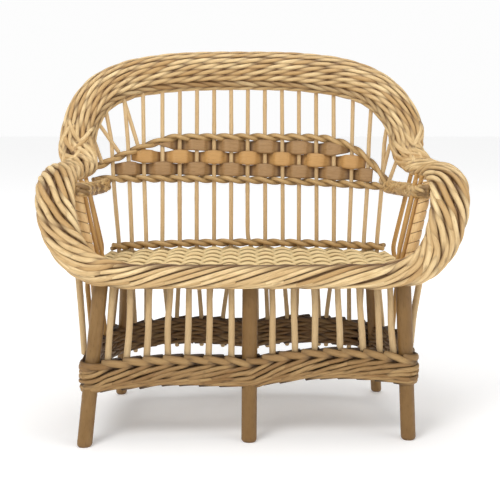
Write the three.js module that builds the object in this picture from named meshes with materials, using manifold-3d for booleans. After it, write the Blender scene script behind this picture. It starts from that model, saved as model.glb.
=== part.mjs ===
// Doll-size willow settee: straight peeled-willow legs, a woven seat, an open staked back with a
// woven middle band, and one rolled border that runs round the back, the arms and the seat front.
// Units are millimetres, +Z is up, the settee faces -Y, and the origin is on the floor.
import * as THREE from 'three';
import { mergeVertices } from 'three/addons/utils/BufferGeometryUtils.js';
import Module from 'manifold-3d';

const wasm = await Module();
wasm.setup();

// ---------------------------------------------------------------- driving dimensions

const GAP = 0.3;                     // clearance left between pieces that touch
const SEAT_TOP = 158;                // top of the woven seat above the floor
const SEAT_UNDER = 150;              // underside of the woven seat
const SEAT_HALF_FRONT = 150;         // half width of the seat at the front
const SEAT_HALF_REAR = 139;          // half width of the seat at the back
const SEAT_FRONT_Y = 3;              // front edge of the seat

const LEG_RADIUS = 7;                // front legs
const REAR_LEG_RADIUS = 5.5;         // back legs
const FRONT_STAKE_RADIUS = 2.9;      // stakes under the seat front
const BACK_STAKE_RADIUS = 2.2;       // stakes of the back
const SIDE_STAKE_RADIUS = 2.4;       // stakes under the arms
const POST_RADIUS = 5;               // cane-wrapped arm posts

const BACK_Y = 140;                  // back surface at seat height, on the centre line
const BACK_LEAN = 0.16;              // backward lean per millimetre of height
const BACK_BOW = 42;                 // how far the back curves forward at the corners
const BACK_BOW_HALF = 155;           // half width at which the bow is measured

const SKIRT_Z = 64;                  // middle height of the woven skirt
const FRONT_SKIRT_TILT = 0.0155;     // rise of the front skirt per millimetre to the right
const FRONT_SKIRT_DROP = 1.4;        // how much lower than the rear skirt the front one sits
const SKIRT_HEIGHT = 28;             // height of the woven skirt
const SKIRT_LEG_THICK = 19.5;        // skirt thickness where it passes round a leg
const SKIRT_BAY_THICK = 12.5;        // skirt thickness between legs
const SIDE_SKIRT_RISE = 2.5;         // how much the side skirts arch up between legs
const FRONT_SKIRT_RISES = [4, 7];    // the same for the front skirt, left and right bay
const REAR_SKIRT_RISES = [5, 5];     // the same for the rear skirt

const ROPE_THICK = 11.4;             // paired rows, front to back
const ROPE_HEIGHT = 7;               // paired rows, top to bottom
const STRIP_THICK = 1.8;             // split willow strips of the middle band

// Every leg by its top centre and its foot centre; the settee is hand made, so they splay unevenly.
const LEGS = {
  front_leg_left: { top: [-135, 9], foot: [-148, -33], radius: LEG_RADIUS },
  front_leg_middle: { top: [2, 9], foot: [1, -19], radius: LEG_RADIUS },
  front_leg_right: { top: [143, 9], foot: [148, -12], radius: LEG_RADIUS },
  rear_leg_left: { top: [-122, 98], foot: [-134, 140], radius: REAR_LEG_RADIUS },
  rear_leg_middle: { top: [0, 127], foot: [0, 156], radius: REAR_LEG_RADIUS },
  rear_leg_right: { top: [122, 98], foot: [137, 150], radius: REAR_LEG_RADIUS },
};
const LEG_TOP = SEAT_UNDER - GAP;

// Stakes under the seat front, left bay then right bay, by where they meet the seat border.
const FRONT_STAKE_X = [
  -124, -108, -90, -71, -54, -35, -15,
  22, 42, 60, 82, 102, 118, 130,
];
const FRONT_STAKE_SPREAD = 1.03;     // the stakes fan out a little towards the skirt

const BACK_STAKE_SIDE = 8;           // stakes each side of the centre stake
const BACK_STAKE_PITCH = 17.6;       // spacing along the middle of the back
const BACK_STAKE_EVEN = 5;           // stakes each side that keep the even spacing
const OUTER_STAKE_PITCH = 16.3;      // spacing of the next stake out
const OUTER_STAKE_CROWDING = 0.7;    // how fast that spacing closes up further out
const STAKE_FAN = { band: 1.6, aboveBand: 2.4, top: 4.2 };  // sideways lean of each outer stake
const STAKE_TOP_Z = 333;             // top of the even stakes, inside the collar
const MIDDLE_STAKE_SHIFT = 8.6;      // the centre stake steps aside for the middle rear leg
// How far each back stake leans sideways between the seat and the rear skirt, left to right.
const BACK_STAKE_DRIFT = [-9, 1, -2, 5, -4, 4, -6, -9, 0.7, 3, 6, -2, 4, -6, 2, -1, 9];

// ---------------------------------------------------------------- materials

const PEELED = { color: 0xc9a468, roughness: 0.62, metalness: 0 };
const ROLLED = { color: 0xd3b27a, roughness: 0.6, metalness: 0 };
const LEG_WOOD = { color: 0xa07f4c, roughness: 0.66, metalness: 0 };
const SPLIT_BROWN = { color: 0xa98455, roughness: 0.58, metalness: 0 };
const SPLIT_GOLD = { color: 0xcfa35c, roughness: 0.55, metalness: 0 };
const CANE = { color: 0xc39a60, roughness: 0.5, metalness: 0 };
const SEAT_WEAVE = { color: 0xdcc18d, roughness: 0.64, metalness: 0 };
const SKIRT_WEAVE = { color: 0xbf9a62, roughness: 0.64, metalness: 0 };

const settee = new THREE.Group();
settee.name = 'willow_settee';

function addPiece(name, geometry, look) {
  const mesh = new THREE.Mesh(geometry, new THREE.MeshStandardMaterial(look));
  mesh.name = name;
  settee.add(mesh);
  return mesh;
}

// ---------------------------------------------------------------- solid helpers

// A closed skin through rings of equal length; the first and last ring are capped with a fan.
function skin(rings) {
  const count = rings[0].length;
  const positions = rings.flat(2);
  const indices = [];
  for (let ring = 0; ring + 1 < rings.length; ring += 1) {
    for (let i = 0; i < count; i += 1) {
      const next = (i + 1) % count;
      const a = ring * count + i;
      const b = ring * count + next;
      indices.push(a, b, b + count, a, b + count, a + count);
    }
  }
  capRing(positions, indices, rings[0], 0, false);
  capRing(positions, indices, rings.at(-1), (rings.length - 1) * count, true);
  if (signedVolume(positions, indices) < 0) {
    indices.reverse();
  }
  const geometry = new THREE.BufferGeometry();
  geometry.setAttribute('position', new THREE.Float32BufferAttribute(positions, 3));
  geometry.setIndex(indices);
  return geometry;
}

// Positive when the triangles of a closed skin face outward.
function signedVolume(positions, indices) {
  const corner = (i) => new THREE.Vector3().fromArray(positions, 3 * indices[i]);
  let total = 0;
  for (let i = 0; i < indices.length; i += 3) {
    total += corner(i).dot(corner(i + 1).cross(corner(i + 2)));
  }
  return total / 6;
}

function capRing(positions, indices, ring, start, facesForward) {
  const centre = [0, 1, 2].map((axis) => ring.reduce((sum, p) => sum + p[axis], 0) / ring.length);
  const hub = positions.length / 3;
  positions.push(...centre);
  ring.forEach((_, i) => {
    const a = start + i;
    const b = start + ((i + 1) % ring.length);
    indices.push(hub, facesForward ? a : b, facesForward ? b : a);
  });
}

// A rod that mostly runs upward, built from level rings so that its ends are level too.
function uprightRod(stations, sides) {
  return skin(stations.map(([x, y, z, radius]) => levelRing(x, y, z, radius, sides)));
}

function levelRing(x, y, z, radius, sides) {
  return Array.from({ length: sides }, (_, i) => {
    const angle = (2 * Math.PI * (i + 0.5)) / sides;
    return [x + radius * Math.cos(angle), y + radius * Math.sin(angle), z];
  });
}

// The same rod made wider, used to cut the hole that the rod passes through.
function widened(stations, extra) {
  return stations.map(([x, y, z, radius]) => [x, y, z, radius + extra]);
}

// Carry a section along a list of frames. Each section point is [across, outward].
function sweep(frames, sectionAt) {
  return skin(frames.map((frame, index) => sectionAt(frame, index).map(([across, outward]) => [
    frame.point.x + frame.across.x * across + frame.out.x * outward,
    frame.point.y + frame.across.y * across + frame.out.y * outward,
    frame.point.z + frame.across.z * across + frame.out.z * outward,
  ])));
}

function toManifold(geometry) {
  const welded = geometry.clone();
  welded.deleteAttribute('normal');
  welded.deleteAttribute('uv');
  const merged = mergeVertices(welded, 1e-4);
  return new wasm.Manifold(new wasm.Mesh({
    numProp: 3,
    vertProperties: new Float32Array(merged.attributes.position.array),
    triVerts: new Uint32Array(merged.index.array),
  }));
}

function fromManifold(solid) {
  const mesh = solid.getMesh();
  const geometry = new THREE.BufferGeometry();
  geometry.setAttribute('position', new THREE.BufferAttribute(mesh.vertProperties, 3));
  geometry.setIndex(new THREE.BufferAttribute(mesh.triVerts, 1));
  return geometry;
}

// Cut every listed solid out of a body and keep the largest piece that is left.
function cut(geometry, cutters) {
  let solid = toManifold(geometry);
  for (const cutter of cutters) {
    solid = solid.subtract(toManifold(cutter));
  }
  const pieces = solid.decompose();
  pieces.sort((a, b) => b.volume() - a.volume());
  return fromManifold(pieces[0]);
}

// ---------------------------------------------------------------- shape of the back

function backY(x, z) {
  const bow = BACK_BOW * (Math.abs(x) / BACK_BOW_HALF) ** 2.2;
  return BACK_Y + BACK_LEAN * (z - SEAT_TOP) - bow;
}

const LOWER_ROPE_Z = 225.5;          // lower paired row, on the centre line
const LOWER_ROPE_FALL = 0.027;       // its fall per millimetre to the right
const UPPER_ROPE_Z = 269.5;          // upper paired row, on the centre line
// How the upper row drops at each end: where the drop starts, how far it gets and how sharply.
const UPPER_ROPE_ENDS = {
  left: { start: 75, span: 75, drop: 27, power: 1.3 },
  right: { start: 50, span: 90, drop: 43, power: 3.2 },
};
const LOWER_ROPE_SPAN = [-147, 143];
const UPPER_ROPE_SPAN = [-145, 133];
const SEAT_ROPE_SPAN = [-137, 137];
const FRONT_SKIRT_SPAN = [-158, 159];
const REAR_SKIRT_SPAN = [-145, 148];

function lowerRopeZ(x) {
  return LOWER_ROPE_Z - LOWER_ROPE_FALL * x;
}

// The upper paired row arches over the band: gently on the left, late and steeply on the right.
function upperRopeZ(x) {
  const { start, span, drop, power } = UPPER_ROPE_ENDS[x < 0 ? 'left' : 'right'];
  return UPPER_ROPE_Z - drop * (Math.max(0, Math.abs(x) - start) / span) ** power;
}

// The outer stakes draw closer together the further out they stand.
function backStakeFootX(index) {
  const steps = Math.abs(index);
  const extra = Math.max(0, steps - BACK_STAKE_EVEN);
  const even = BACK_STAKE_PITCH * Math.min(steps, BACK_STAKE_EVEN);
  return Math.sign(index) * (even + OUTER_STAKE_PITCH * extra - OUTER_STAKE_CROWDING * extra ** 2);
}

// Under the seat the stakes wander a little, and the end stakes pass outside the corner legs.
function backStakeSkirtX(index, underX) {
  return underX + BACK_STAKE_DRIFT[index + BACK_STAKE_SIDE];
}

// Stations of one back stake, from the rear skirt up through the seat to the collar.
function backStakeStations(index) {
  const side = Math.sign(index);
  const footX = backStakeFootX(index);
  const fan = Math.max(0, Math.abs(index) - BACK_STAKE_EVEN);
  const bandX = footX + side * STAKE_FAN.band * fan;
  const aboveX = footX + side * STAKE_FAN.aboveBand * fan;
  const topX = footX + side * STAKE_FAN.top * fan;
  const topZ = STAKE_TOP_Z - 2 * fan - 3.3 * fan ** 2;
  const underX = index === 0 ? MIDDLE_STAKE_SHIFT : footX;
  const skirtX = backStakeSkirtX(index, underX);
  const skirt = rearSkirtPoint(skirtX);
  return [
    [skirtX, skirt[1], skirt[2] - SKIRT_HEIGHT / 2 - 2],
    [skirtX, skirt[1], skirt[2] + SKIRT_HEIGHT / 2],
    [underX, backY(underX, SEAT_UNDER), SEAT_UNDER - 6],
    [footX, backY(footX, SEAT_TOP + 8), SEAT_TOP + 8],
    [bandX, backY(bandX, LOWER_ROPE_Z), LOWER_ROPE_Z],
    [aboveX, backY(bandX, UPPER_ROPE_Z - 3), UPPER_ROPE_Z - 3],
    [topX, backY(topX, topZ), topZ],
  ].map((station) => [...station, BACK_STAKE_RADIUS]);
}

// ---------------------------------------------------------------- legs

function legCentre(name, z) {
  const { top, foot } = LEGS[name];
  const t = z / LEG_TOP;
  return [foot[0] + (top[0] - foot[0]) * t, foot[1] + (top[1] - foot[1]) * t];
}

function legStations(name) {
  const { radius } = LEGS[name];
  const heights = [[0, radius - 1.6], [0.9, radius - 0.5], [2.6, radius], [LEG_TOP, radius]];
  return heights.map(([z, r]) => [...legCentre(name, z), z, r]);
}

const LEG_NAMES = Object.keys(LEGS);

function legCutters(names) {
  return names.map((name) => uprightRod(widened(legStations(name), GAP), 14));
}

function addLegs() {
  for (const name of LEG_NAMES) {
    addPiece(name, uprightRod(legStations(name), 14), LEG_WOOD);
  }
}

// ---------------------------------------------------------------- skirt

const UP = new THREE.Vector3(0, 0, 1);

// A value that blends through listed [x, value] pairs.
function blend(pairs, x) {
  let left = pairs[0];
  for (const right of pairs) {
    if (x <= right[0]) {
      const span = right[0] - left[0] || 1;
      const t = Math.min(1, Math.max(0, (x - left[0]) / span));
      return left[1] + (right[1] - left[1]) * t;
    }
    left = right;
  }
  return left[1];
}

function skirtPoint(legNames, bulge, rises, x) {
  const legs = legNames.map((name) => legCentre(name, SKIRT_Z));
  const y = blend(legs, x);
  const bays = legs.slice(1).map((leg, i) => {
    const t = (x - legs[i][0]) / (leg[0] - legs[i][0]);
    return t > 0 && t < 1 ? Math.sin(Math.PI * t) : 0;
  });
  const rise = Math.max(...bays.map((bay, i) => rises[i] * bay));
  return [x, y + bulge * Math.max(...bays), SKIRT_Z + rise, Math.max(...bays)];
}

const FRONT_LEGS = ['front_leg_left', 'front_leg_middle', 'front_leg_right'];
const REAR_LEGS = ['rear_leg_left', 'rear_leg_middle', 'rear_leg_right'];

function frontSkirtPoint(x) {
  const [, y, z, bay] = skirtPoint(FRONT_LEGS, 1, FRONT_SKIRT_RISES, x);
  return [x, y, z - FRONT_SKIRT_DROP + FRONT_SKIRT_TILT * x, bay];
}

function rearSkirtPoint(x) {
  return skirtPoint(REAR_LEGS, 6, REAR_SKIRT_RISES, x);
}

// A band with a row of rod ridges on both faces.
function ridgedBand(rows, height, thick) {
  const half = height / 2;
  const face = Array.from({ length: 2 * rows + 1 }, (_, i) => {
    const across = -half + (height * i) / (2 * rows);
    const end = i === 0 || i === 2 * rows;
    const depth = end ? 0.3 : i % 2 === 1 ? 0.5 : 0.42;
    return [across, depth * thick];
  });
  const back = face.map(([across, depth]) => [across, -depth]).reverse();
  return [...face, ...back];
}

function skirtFrames(pointAt, from, to, count) {
  return Array.from({ length: count }, (_, i) => {
    const x = from + ((to - from) * i) / (count - 1);
    const [px, py, pz, bay] = pointAt(x);
    const ahead = pointAt(x + 0.5);
    const along = new THREE.Vector3(ahead[0] - px, ahead[1] - py, 0).normalize();
    const out = new THREE.Vector3().crossVectors(along, UP).normalize();
    return { point: new THREE.Vector3(px, py, pz), across: UP.clone(), out, bay };
  });
}

function skirtBody(pointAt, [from, to], count, rows, grow) {
  const frames = skirtFrames(pointAt, from - grow, to + grow, count);
  return sweep(frames, (frame) => {
    const thick = SKIRT_LEG_THICK + (SKIRT_BAY_THICK - SKIRT_LEG_THICK) * Math.min(1, 2.2 * frame.bay);
    return ridgedBand(rows, SKIRT_HEIGHT + 2 * grow, thick + 2 * grow);
  });
}

function frontStakeStations(topX) {
  const footX = topX * FRONT_STAKE_SPREAD;
  const skirt = frontSkirtPoint(footX);
  return [
    [footX, skirt[1], skirt[2] - SKIRT_HEIGHT / 2 + 2, FRONT_STAKE_RADIUS],
    [footX, skirt[1], skirt[2] + SKIRT_HEIGHT / 2, FRONT_STAKE_RADIUS],
    [topX, 7, SEAT_UNDER - GAP, FRONT_STAKE_RADIUS],
  ];
}

function addSkirts(backStakes, sideStakes) {
  const frontCutters = FRONT_STAKE_X.map((x) => uprightRod(widened(frontStakeStations(x), GAP), 8));
  const front = skirtBody(frontSkirtPoint, FRONT_SKIRT_SPAN, 27, 4, 0);
  addPiece('skirt_front', cut(front, [...legCutters(FRONT_LEGS), ...frontCutters]), SKIRT_WEAVE);

  const rear = skirtBody(rearSkirtPoint, REAR_SKIRT_SPAN, 21, 3, 0);
  const rearCutters = backStakes.map((stations) => uprightRod(widened(stations, GAP), 6));
  addPiece('skirt_rear', cut(rear, [...legCutters(REAR_LEGS), ...rearCutters]), SKIRT_WEAVE);

  const keepClear = [
    skirtBody(frontSkirtPoint, FRONT_SKIRT_SPAN, 27, 4, GAP),
    skirtBody(rearSkirtPoint, REAR_SKIRT_SPAN, 21, 3, GAP),
    ...legCutters(LEG_NAMES),
  ];
  for (const side of [-1, 1]) {
    const frames = sideSkirtFrames(side);
    const body = sweep(frames, () => ridgedBand(3, SKIRT_HEIGHT - 2, SKIRT_BAY_THICK - 1));
    const cutters = sideStakes
      .filter((stake) => stake.side === side)
      .map((stake) => uprightRod(widened(stake.stations, GAP), 6));
    const name = side < 0 ? 'skirt_left' : 'skirt_right';
    addPiece(name, cut(body, [...keepClear, ...cutters]), SKIRT_WEAVE);
  }
}

// The side skirts run from the front corner leg to the rear corner leg, bowed slightly outward.
function sideSkirtPoint(side, t) {
  const front = legCentre(side < 0 ? 'front_leg_left' : 'front_leg_right', SKIRT_Z);
  const rear = legCentre(side < 0 ? 'rear_leg_left' : 'rear_leg_right', SKIRT_Z);
  const bow = side * 9 * Math.sin(Math.PI * t);
  const x = front[0] + side * 2 + (rear[0] - front[0]) * t + bow;
  const y = front[1] + (rear[1] - front[1]) * t;
  return new THREE.Vector3(x, y, SKIRT_Z + SIDE_SKIRT_RISE * Math.sin(Math.PI * t));
}

function sideSkirtFrames(side) {
  return Array.from({ length: 10 }, (_, i) => {
    const point = sideSkirtPoint(side, i / 9);
    const along = sideSkirtPoint(side, i / 9 + 0.02).sub(point).setZ(0).normalize();
    const out = new THREE.Vector3().crossVectors(along, UP).normalize();
    return { point, across: UP.clone(), out };
  });
}

// ---------------------------------------------------------------- rolled border

// The border is one closed roll, listed here for the right half from the top of the back, down the
// side, forward along the arm, down in front and in to the middle of the seat front. Each entry is
// the centre, the direction of the outer edge, the width and the thickness.
const BORDER = [
  { at: [0, 168.5, 337.5], edge: [0, 0.16, 1], width: 40, thick: 21 },
  { at: [42, 166.5, 337], edge: [0.03, 0.16, 1], width: 40, thick: 21 },
  { at: [82, 158, 334], edge: [0.14, 0.14, 1], width: 40, thick: 21 },
  { at: [115, 147, 327.5], edge: [0.42, 0.1, 0.9], width: 39, thick: 21 },
  { at: [141, 134, 314.5], edge: [0.74, 0, 0.68], width: 38, thick: 21 },
  { at: [156, 122, 296], edge: [0.94, -0.2, 0.3], width: 37, thick: 21 },
  { at: [163, 114, 277], edge: [1, -0.25, 0.1], width: 36, thick: 20 },
  { at: [165.5, 107, 258], edge: [1, -0.15, 0.04], width: 36, thick: 18 },
  { at: [168.5, 97, 245.5], edge: [1, -0.05, 0.05], width: 35, thick: 17 },
  { at: [174, 72, 240], edge: [1, 0.03, 0.05], width: 34.5, thick: 17.5 },
  { at: [178.5, 32, 239], edge: [1, 0.02, 0.02], width: 35, thick: 18 },
  { at: [179, 7, 230], edge: [1, 0, 0], width: 35, thick: 18 },
  { at: [178, -2, 212], edge: [1, 0, -0.05], width: 35, thick: 18 },
  { at: [174, -5, 194], edge: [1, 0, -0.3], width: 34, thick: 18 },
  { at: [166, -6, 175.5], edge: [0.84, 0, -0.55], width: 31, thick: 18 },
  { at: [151, -7, 160.5], edge: [0.5, 0, -0.86], width: 28, thick: 18 },
  { at: [128, -8, 153.5], edge: [0.16, 0, -1], width: 25, thick: 18 },
  { at: [80, -8.5, 152], edge: [0, 0, -1], width: 24, thick: 18 },
  { at: [0, -8.5, 151.5], edge: [0, 0, -1], width: 24, thick: 18 },
];
// The woven border is not quite even: [height, shift to the right] of both halves.
const BORDER_LEAN = [[150, 6], [180, 5], [200, 4], [242, 4], [258, -4], [277, -5.5], [320, -8]];
// The joint of collar and arm is slimmer on the right: [height, millimetres taken off the width].
const RIGHT_JOINT_TRIM = [[236, 0], [246, 7], [256, 7], [268, 0]];
const BORDER_STEPS = 5;              // frames laid between two entries of the list

function borderFrames(side) {
  const trims = BORDER.map(({ at: [, , z] }) => (side > 0 ? blend(RIGHT_JOINT_TRIM, z) : 0));
  const points = BORDER.map(({ at: [x, y, z] }, entry) => {
    return new THREE.Vector3(side * x + blend(BORDER_LEAN, z) - trims[entry] / 2, y, z);
  });
  const widths = BORDER.map(({ width }, entry) => width - trims[entry]);
  const edges = BORDER.map(({ edge }) => new THREE.Vector3(side * edge[0], edge[1], edge[2]));
  const curve = new THREE.CatmullRomCurve3(points, false, 'centripetal');
  const edgeCurve = new THREE.CatmullRomCurve3(edges, false, 'centripetal');
  const last = BORDER.length - 1;
  return Array.from({ length: last * BORDER_STEPS + 1 }, (_, i) => {
    const u = i / (last * BORDER_STEPS);
    const entry = Math.min(last - 1, Math.floor(u * last));
    const t = u * last - entry;
    const tangent = curve.getTangent(u).normalize();
    if (i === 0 || i === last * BORDER_STEPS) {
      tangent.set(i === 0 ? side : -side, 0, 0);
    }
    const across = edgeCurve.getPoint(u);
    across.addScaledVector(tangent, -across.dot(tangent)).normalize();
    const out = new THREE.Vector3().crossVectors(across, tangent).multiplyScalar(side).normalize();
    const from = BORDER[entry];
    const to = BORDER[entry + 1];
    return {
      point: curve.getPoint(u),
      across,
      out,
      width: widths[entry] + (widths[entry + 1] - widths[entry]) * t,
      thick: from.thick + (to.thick - from.thick) * t,
    };
  });
}

// A bundle of rods side by side: ridges on the outer face, a plain shallow curve on the inner face.
function rolledSection(rods, width, thick) {
  const front = Array.from({ length: 2 * rods + 1 }, (_, i) => {
    const angle = (Math.PI * i) / (2 * rods);
    const ridge = i % 2 === 1 ? 1 : 0.9;
    return [-0.5 * width * Math.cos(angle), 0.6 * thick * Math.sin(angle) * ridge];
  });
  const inner = [0.25, 0.5, 0.75].map((part) => {
    const angle = Math.PI * (1 + part);
    return [-0.5 * width * Math.cos(angle), 0.4 * thick * Math.sin(angle)];
  });
  return [...front, ...inner];
}

function rolledBody(frames, rods, grow = 0) {
  return sweep(frames, ({ width, thick }) => rolledSection(rods, width + 2 * grow, thick + 5 * grow));
}

// Pull the end frames of a run in along the roll, so that two runs that meet keep their gap.
function trimmed(frames) {
  const inset = (frame, neighbour) => {
    const along = neighbour.point.clone().sub(frame.point).normalize();
    return { ...frame, point: frame.point.clone().addScaledVector(along, GAP / 2) };
  };
  return [
    inset(frames[0], frames[1]),
    ...frames.slice(1, -1),
    inset(frames.at(-1), frames.at(-2)),
  ];
}

const COLLAR_END = 7 * BORDER_STEPS;       // frame where the collar hands over to the arm roll
const ARM_END = 15 * BORDER_STEPS;         // frame where the arm roll hands over to the seat front

// The whole run of frames with the left half reversed, thinned to the wanted spacing.
function thinned(frames, step) {
  return frames.filter((_, i) => i % step === 0 || i === frames.length - 1);
}

// The four runs of the border. The left half is walked from its far end, so that the frames of a
// run that crosses the centre line all agree.
function borderRuns() {
  const right = borderFrames(1);
  const left = borderFrames(-1);
  const runs = {
    back_collar: [...left.slice(1, COLLAR_END + 1).reverse(), ...right.slice(0, COLLAR_END + 1)],
    arm_roll_left: left.slice(COLLAR_END, ARM_END + 1).reverse(),
    arm_roll_right: right.slice(COLLAR_END, ARM_END + 1),
    seat_front_border: [...right.slice(ARM_END), ...left.slice(ARM_END, -1).reverse()],
  };
  return Object.entries(runs).map(([name, frames]) => ({
    name,
    rods: name === 'back_collar' ? 6 : 5,
    frames: trimmed(thinned(frames, name === 'seat_front_border' ? 3 : 2)),
  }));
}

function addBorder(runs, cutters) {
  for (const { name, rods, frames } of runs) {
    addPiece(name, cut(rolledBody(frames, rods), cutters), ROLLED);
  }
}

// ---------------------------------------------------------------- uprights under the arms

const SIDE_STAKES = [
  { y: 86, topX: 160, seatX: 144, skirtPart: 0.7 },
  { y: 64, topX: 162, seatX: 146, skirtPart: 0.53 },
  { y: 40, topX: 163, seatX: 148, skirtPart: 0.34 },
];

function sideStakeList() {
  return [-1, 1].flatMap((side) => SIDE_STAKES.map(({ y, topX, seatX, skirtPart }, index) => {
    const skirt = sideSkirtPoint(side, skirtPart);
    const radius = SIDE_STAKE_RADIUS;
    const stations = [
      [skirt.x, skirt.y, skirt.z - SKIRT_HEIGHT / 2 - 1, radius],
      [skirt.x, skirt.y, skirt.z + SKIRT_HEIGHT / 2, radius],
      [side * (seatX + 5), y, SEAT_UNDER - 14, radius],
      [side * seatX, y, SEAT_TOP + 6, radius],
      [side * topX, y, 238, radius],
    ];
    return { name: `side_stake_${side < 0 ? 'left' : 'right'}_${index + 1}`, side, stations, sides: 6 };
  }));
}

const WRAP_PITCH = 9;                // height of one turn of the cane binding

function postList() {
  return [-1, 1].map((side) => {
    const bottomX = side < 0 ? -145.5 : 150;
    const topX = side < 0 ? -160 : 166;
    const bottomZ = SEAT_TOP + 2.5;
    const topZ = 236;
    const turns = Math.round((topZ - bottomZ) / WRAP_PITCH);
    const stations = [];
    for (let turn = 0; turn < turns; turn += 1) {
      for (const [part, radius] of [[0.04, POST_RADIUS - 0.5], [0.35, POST_RADIUS], [0.9, POST_RADIUS]]) {
        const t = (turn + part) / turns;
        const z = bottomZ + (topZ - bottomZ) * t;
        stations.push([bottomX + (topX - bottomX) * t, 19, z, radius]);
      }
    }
    return { name: `arm_post_${side < 0 ? 'left' : 'right'}`, side, stations, sides: 10 };
  });
}

// ---------------------------------------------------------------- seat

const SEAT_COLUMNS = 35;
const SEAT_ROWS = 7;
const SEAT_WAVE = 1.1;               // rise and fall of the seat rows over the stakes

// A woven sheet: the rows rise and fall over the stakes that run front to back inside it.
function seatPoint(column, row) {
  const u = (2 * column) / (SEAT_COLUMNS - 1) - 1;
  const v = row / (SEAT_ROWS - 1);
  const x = u * (SEAT_HALF_FRONT + (SEAT_HALF_REAR - SEAT_HALF_FRONT) * v);
  const rearY = backY(x, SEAT_TOP) + 6;
  const phase = (Math.PI * x) / BACK_STAKE_PITCH + row * Math.PI;
  const edge = row === 0 || row === SEAT_ROWS - 1;
  const lift = edge ? 0 : SEAT_WAVE * Math.cos(phase);
  return [x, SEAT_FRONT_Y + (rearY - SEAT_FRONT_Y) * v, SEAT_TOP - SEAT_WAVE + lift];
}

function seatBody() {
  const lastColumn = SEAT_COLUMNS - 1;
  const lastRow = SEAT_ROWS - 1;
  const positions = [];
  for (let row = 0; row < SEAT_ROWS; row += 1) {
    for (let column = 0; column < SEAT_COLUMNS; column += 1) {
      positions.push(...seatPoint(column, row));
    }
  }
  for (const row of [0, lastRow]) {
    for (let column = 0; column < SEAT_COLUMNS; column += 1) {
      const [x, y] = seatPoint(column, row);
      positions.push(x, y, SEAT_UNDER);
    }
  }
  const at = (column, row) => row * SEAT_COLUMNS + column;
  const underFront = (column) => at(column, SEAT_ROWS);
  const underRear = (column) => at(column, SEAT_ROWS + 1);
  const indices = [];
  const quad = (a, b, c, d) => indices.push(a, b, c, a, c, d);
  for (let column = 0; column < lastColumn; column += 1) {
    for (let row = 0; row < lastRow; row += 1) {
      quad(at(column, row), at(column + 1, row), at(column + 1, row + 1), at(column, row + 1));
    }
    quad(at(column + 1, 0), at(column, 0), underFront(column), underFront(column + 1));
    quad(at(column, lastRow), at(column + 1, lastRow), underRear(column + 1), underRear(column));
    quad(underFront(column), underRear(column), underRear(column + 1), underFront(column + 1));
  }
  for (let row = 0; row < lastRow; row += 1) {
    indices.push(at(0, row), at(0, row + 1), underFront(0));
    indices.push(at(lastColumn, row + 1), at(lastColumn, row), underFront(lastColumn));
  }
  indices.push(at(0, lastRow), underRear(0), underFront(0));
  indices.push(underRear(lastColumn), at(lastColumn, lastRow), underFront(lastColumn));
  const geometry = new THREE.BufferGeometry();
  geometry.setAttribute('position', new THREE.Float32BufferAttribute(positions, 3));
  geometry.setIndex(indices);
  return geometry;
}

// ---------------------------------------------------------------- rows woven through the back

// Frames along the back at a height that depends on x, with the outward direction to the front.
function backFrames(from, to, count, heightAt) {
  return Array.from({ length: count }, (_, i) => {
    const x = from + ((to - from) * i) / (count - 1);
    const z = heightAt(x);
    const point = new THREE.Vector3(x, backY(x, z), z);
    const zAhead = heightAt(x + 0.5);
    const ahead = new THREE.Vector3(x + 0.5, backY(x + 0.5, zAhead), zAhead);
    const along = ahead.sub(point).normalize();
    const up = new THREE.Vector3(0, BACK_LEAN, 1).normalize();
    up.addScaledVector(along, -up.dot(along)).normalize();
    const out = new THREE.Vector3().crossVectors(along, up).normalize();
    return { point, across: up, out };
  });
}

// A paired row: a flattened rope, waisted where it grips a stake.
function ropeBody([from, to], count, heightAt, grow = 0) {
  const sides = 6;
  return sweep(backFrames(from, to, count, heightAt), ({ point }) => {
    const grip = Math.cos((2 * Math.PI * point.x) / BACK_STAKE_PITCH);
    const height = ROPE_HEIGHT * (1 - 0.05 * grip);
    return Array.from({ length: sides }, (_, i) => {
      const angle = (2 * Math.PI * (i + 0.5)) / sides;
      const halfHeight = 0.53 * height + grow;
      const halfThick = 0.53 * ROPE_THICK + grow;
      return [-halfHeight * Math.cos(angle), halfThick * Math.sin(angle)];
    });
  });
}

// Where the stakes cross a given height, so that a strip can pass in front and behind in turn.
function stakeCrossings(backStakes, heightAt) {
  return backStakes.map((stations) => {
    const footX = stations[3][0];
    const z = heightAt(footX);
    return blend(stations.map(([x, , stationZ]) => [stationZ, x]), z);
  });
}

// The strips from the bottom up: name, colour, and the x where each one starts and ends.
const STRIPS = [
  { name: 'band_strip_lower', look: SPLIT_BROWN, from: -137, to: 125 },
  { name: 'band_strip_middle', look: SPLIT_GOLD, from: -118, to: 118 },
  { name: 'band_strip_upper', look: SPLIT_BROWN, from: -98, to: 104 },
];
const STRIP_PITCH = (UPPER_ROPE_Z - LOWER_ROPE_Z - ROPE_HEIGHT) / STRIPS.length;

function stripHeightAt(row) {
  return (x) => lowerRopeZ(x) + ROPE_HEIGHT / 2 + STRIP_PITCH * (row + 0.5);
}

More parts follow.
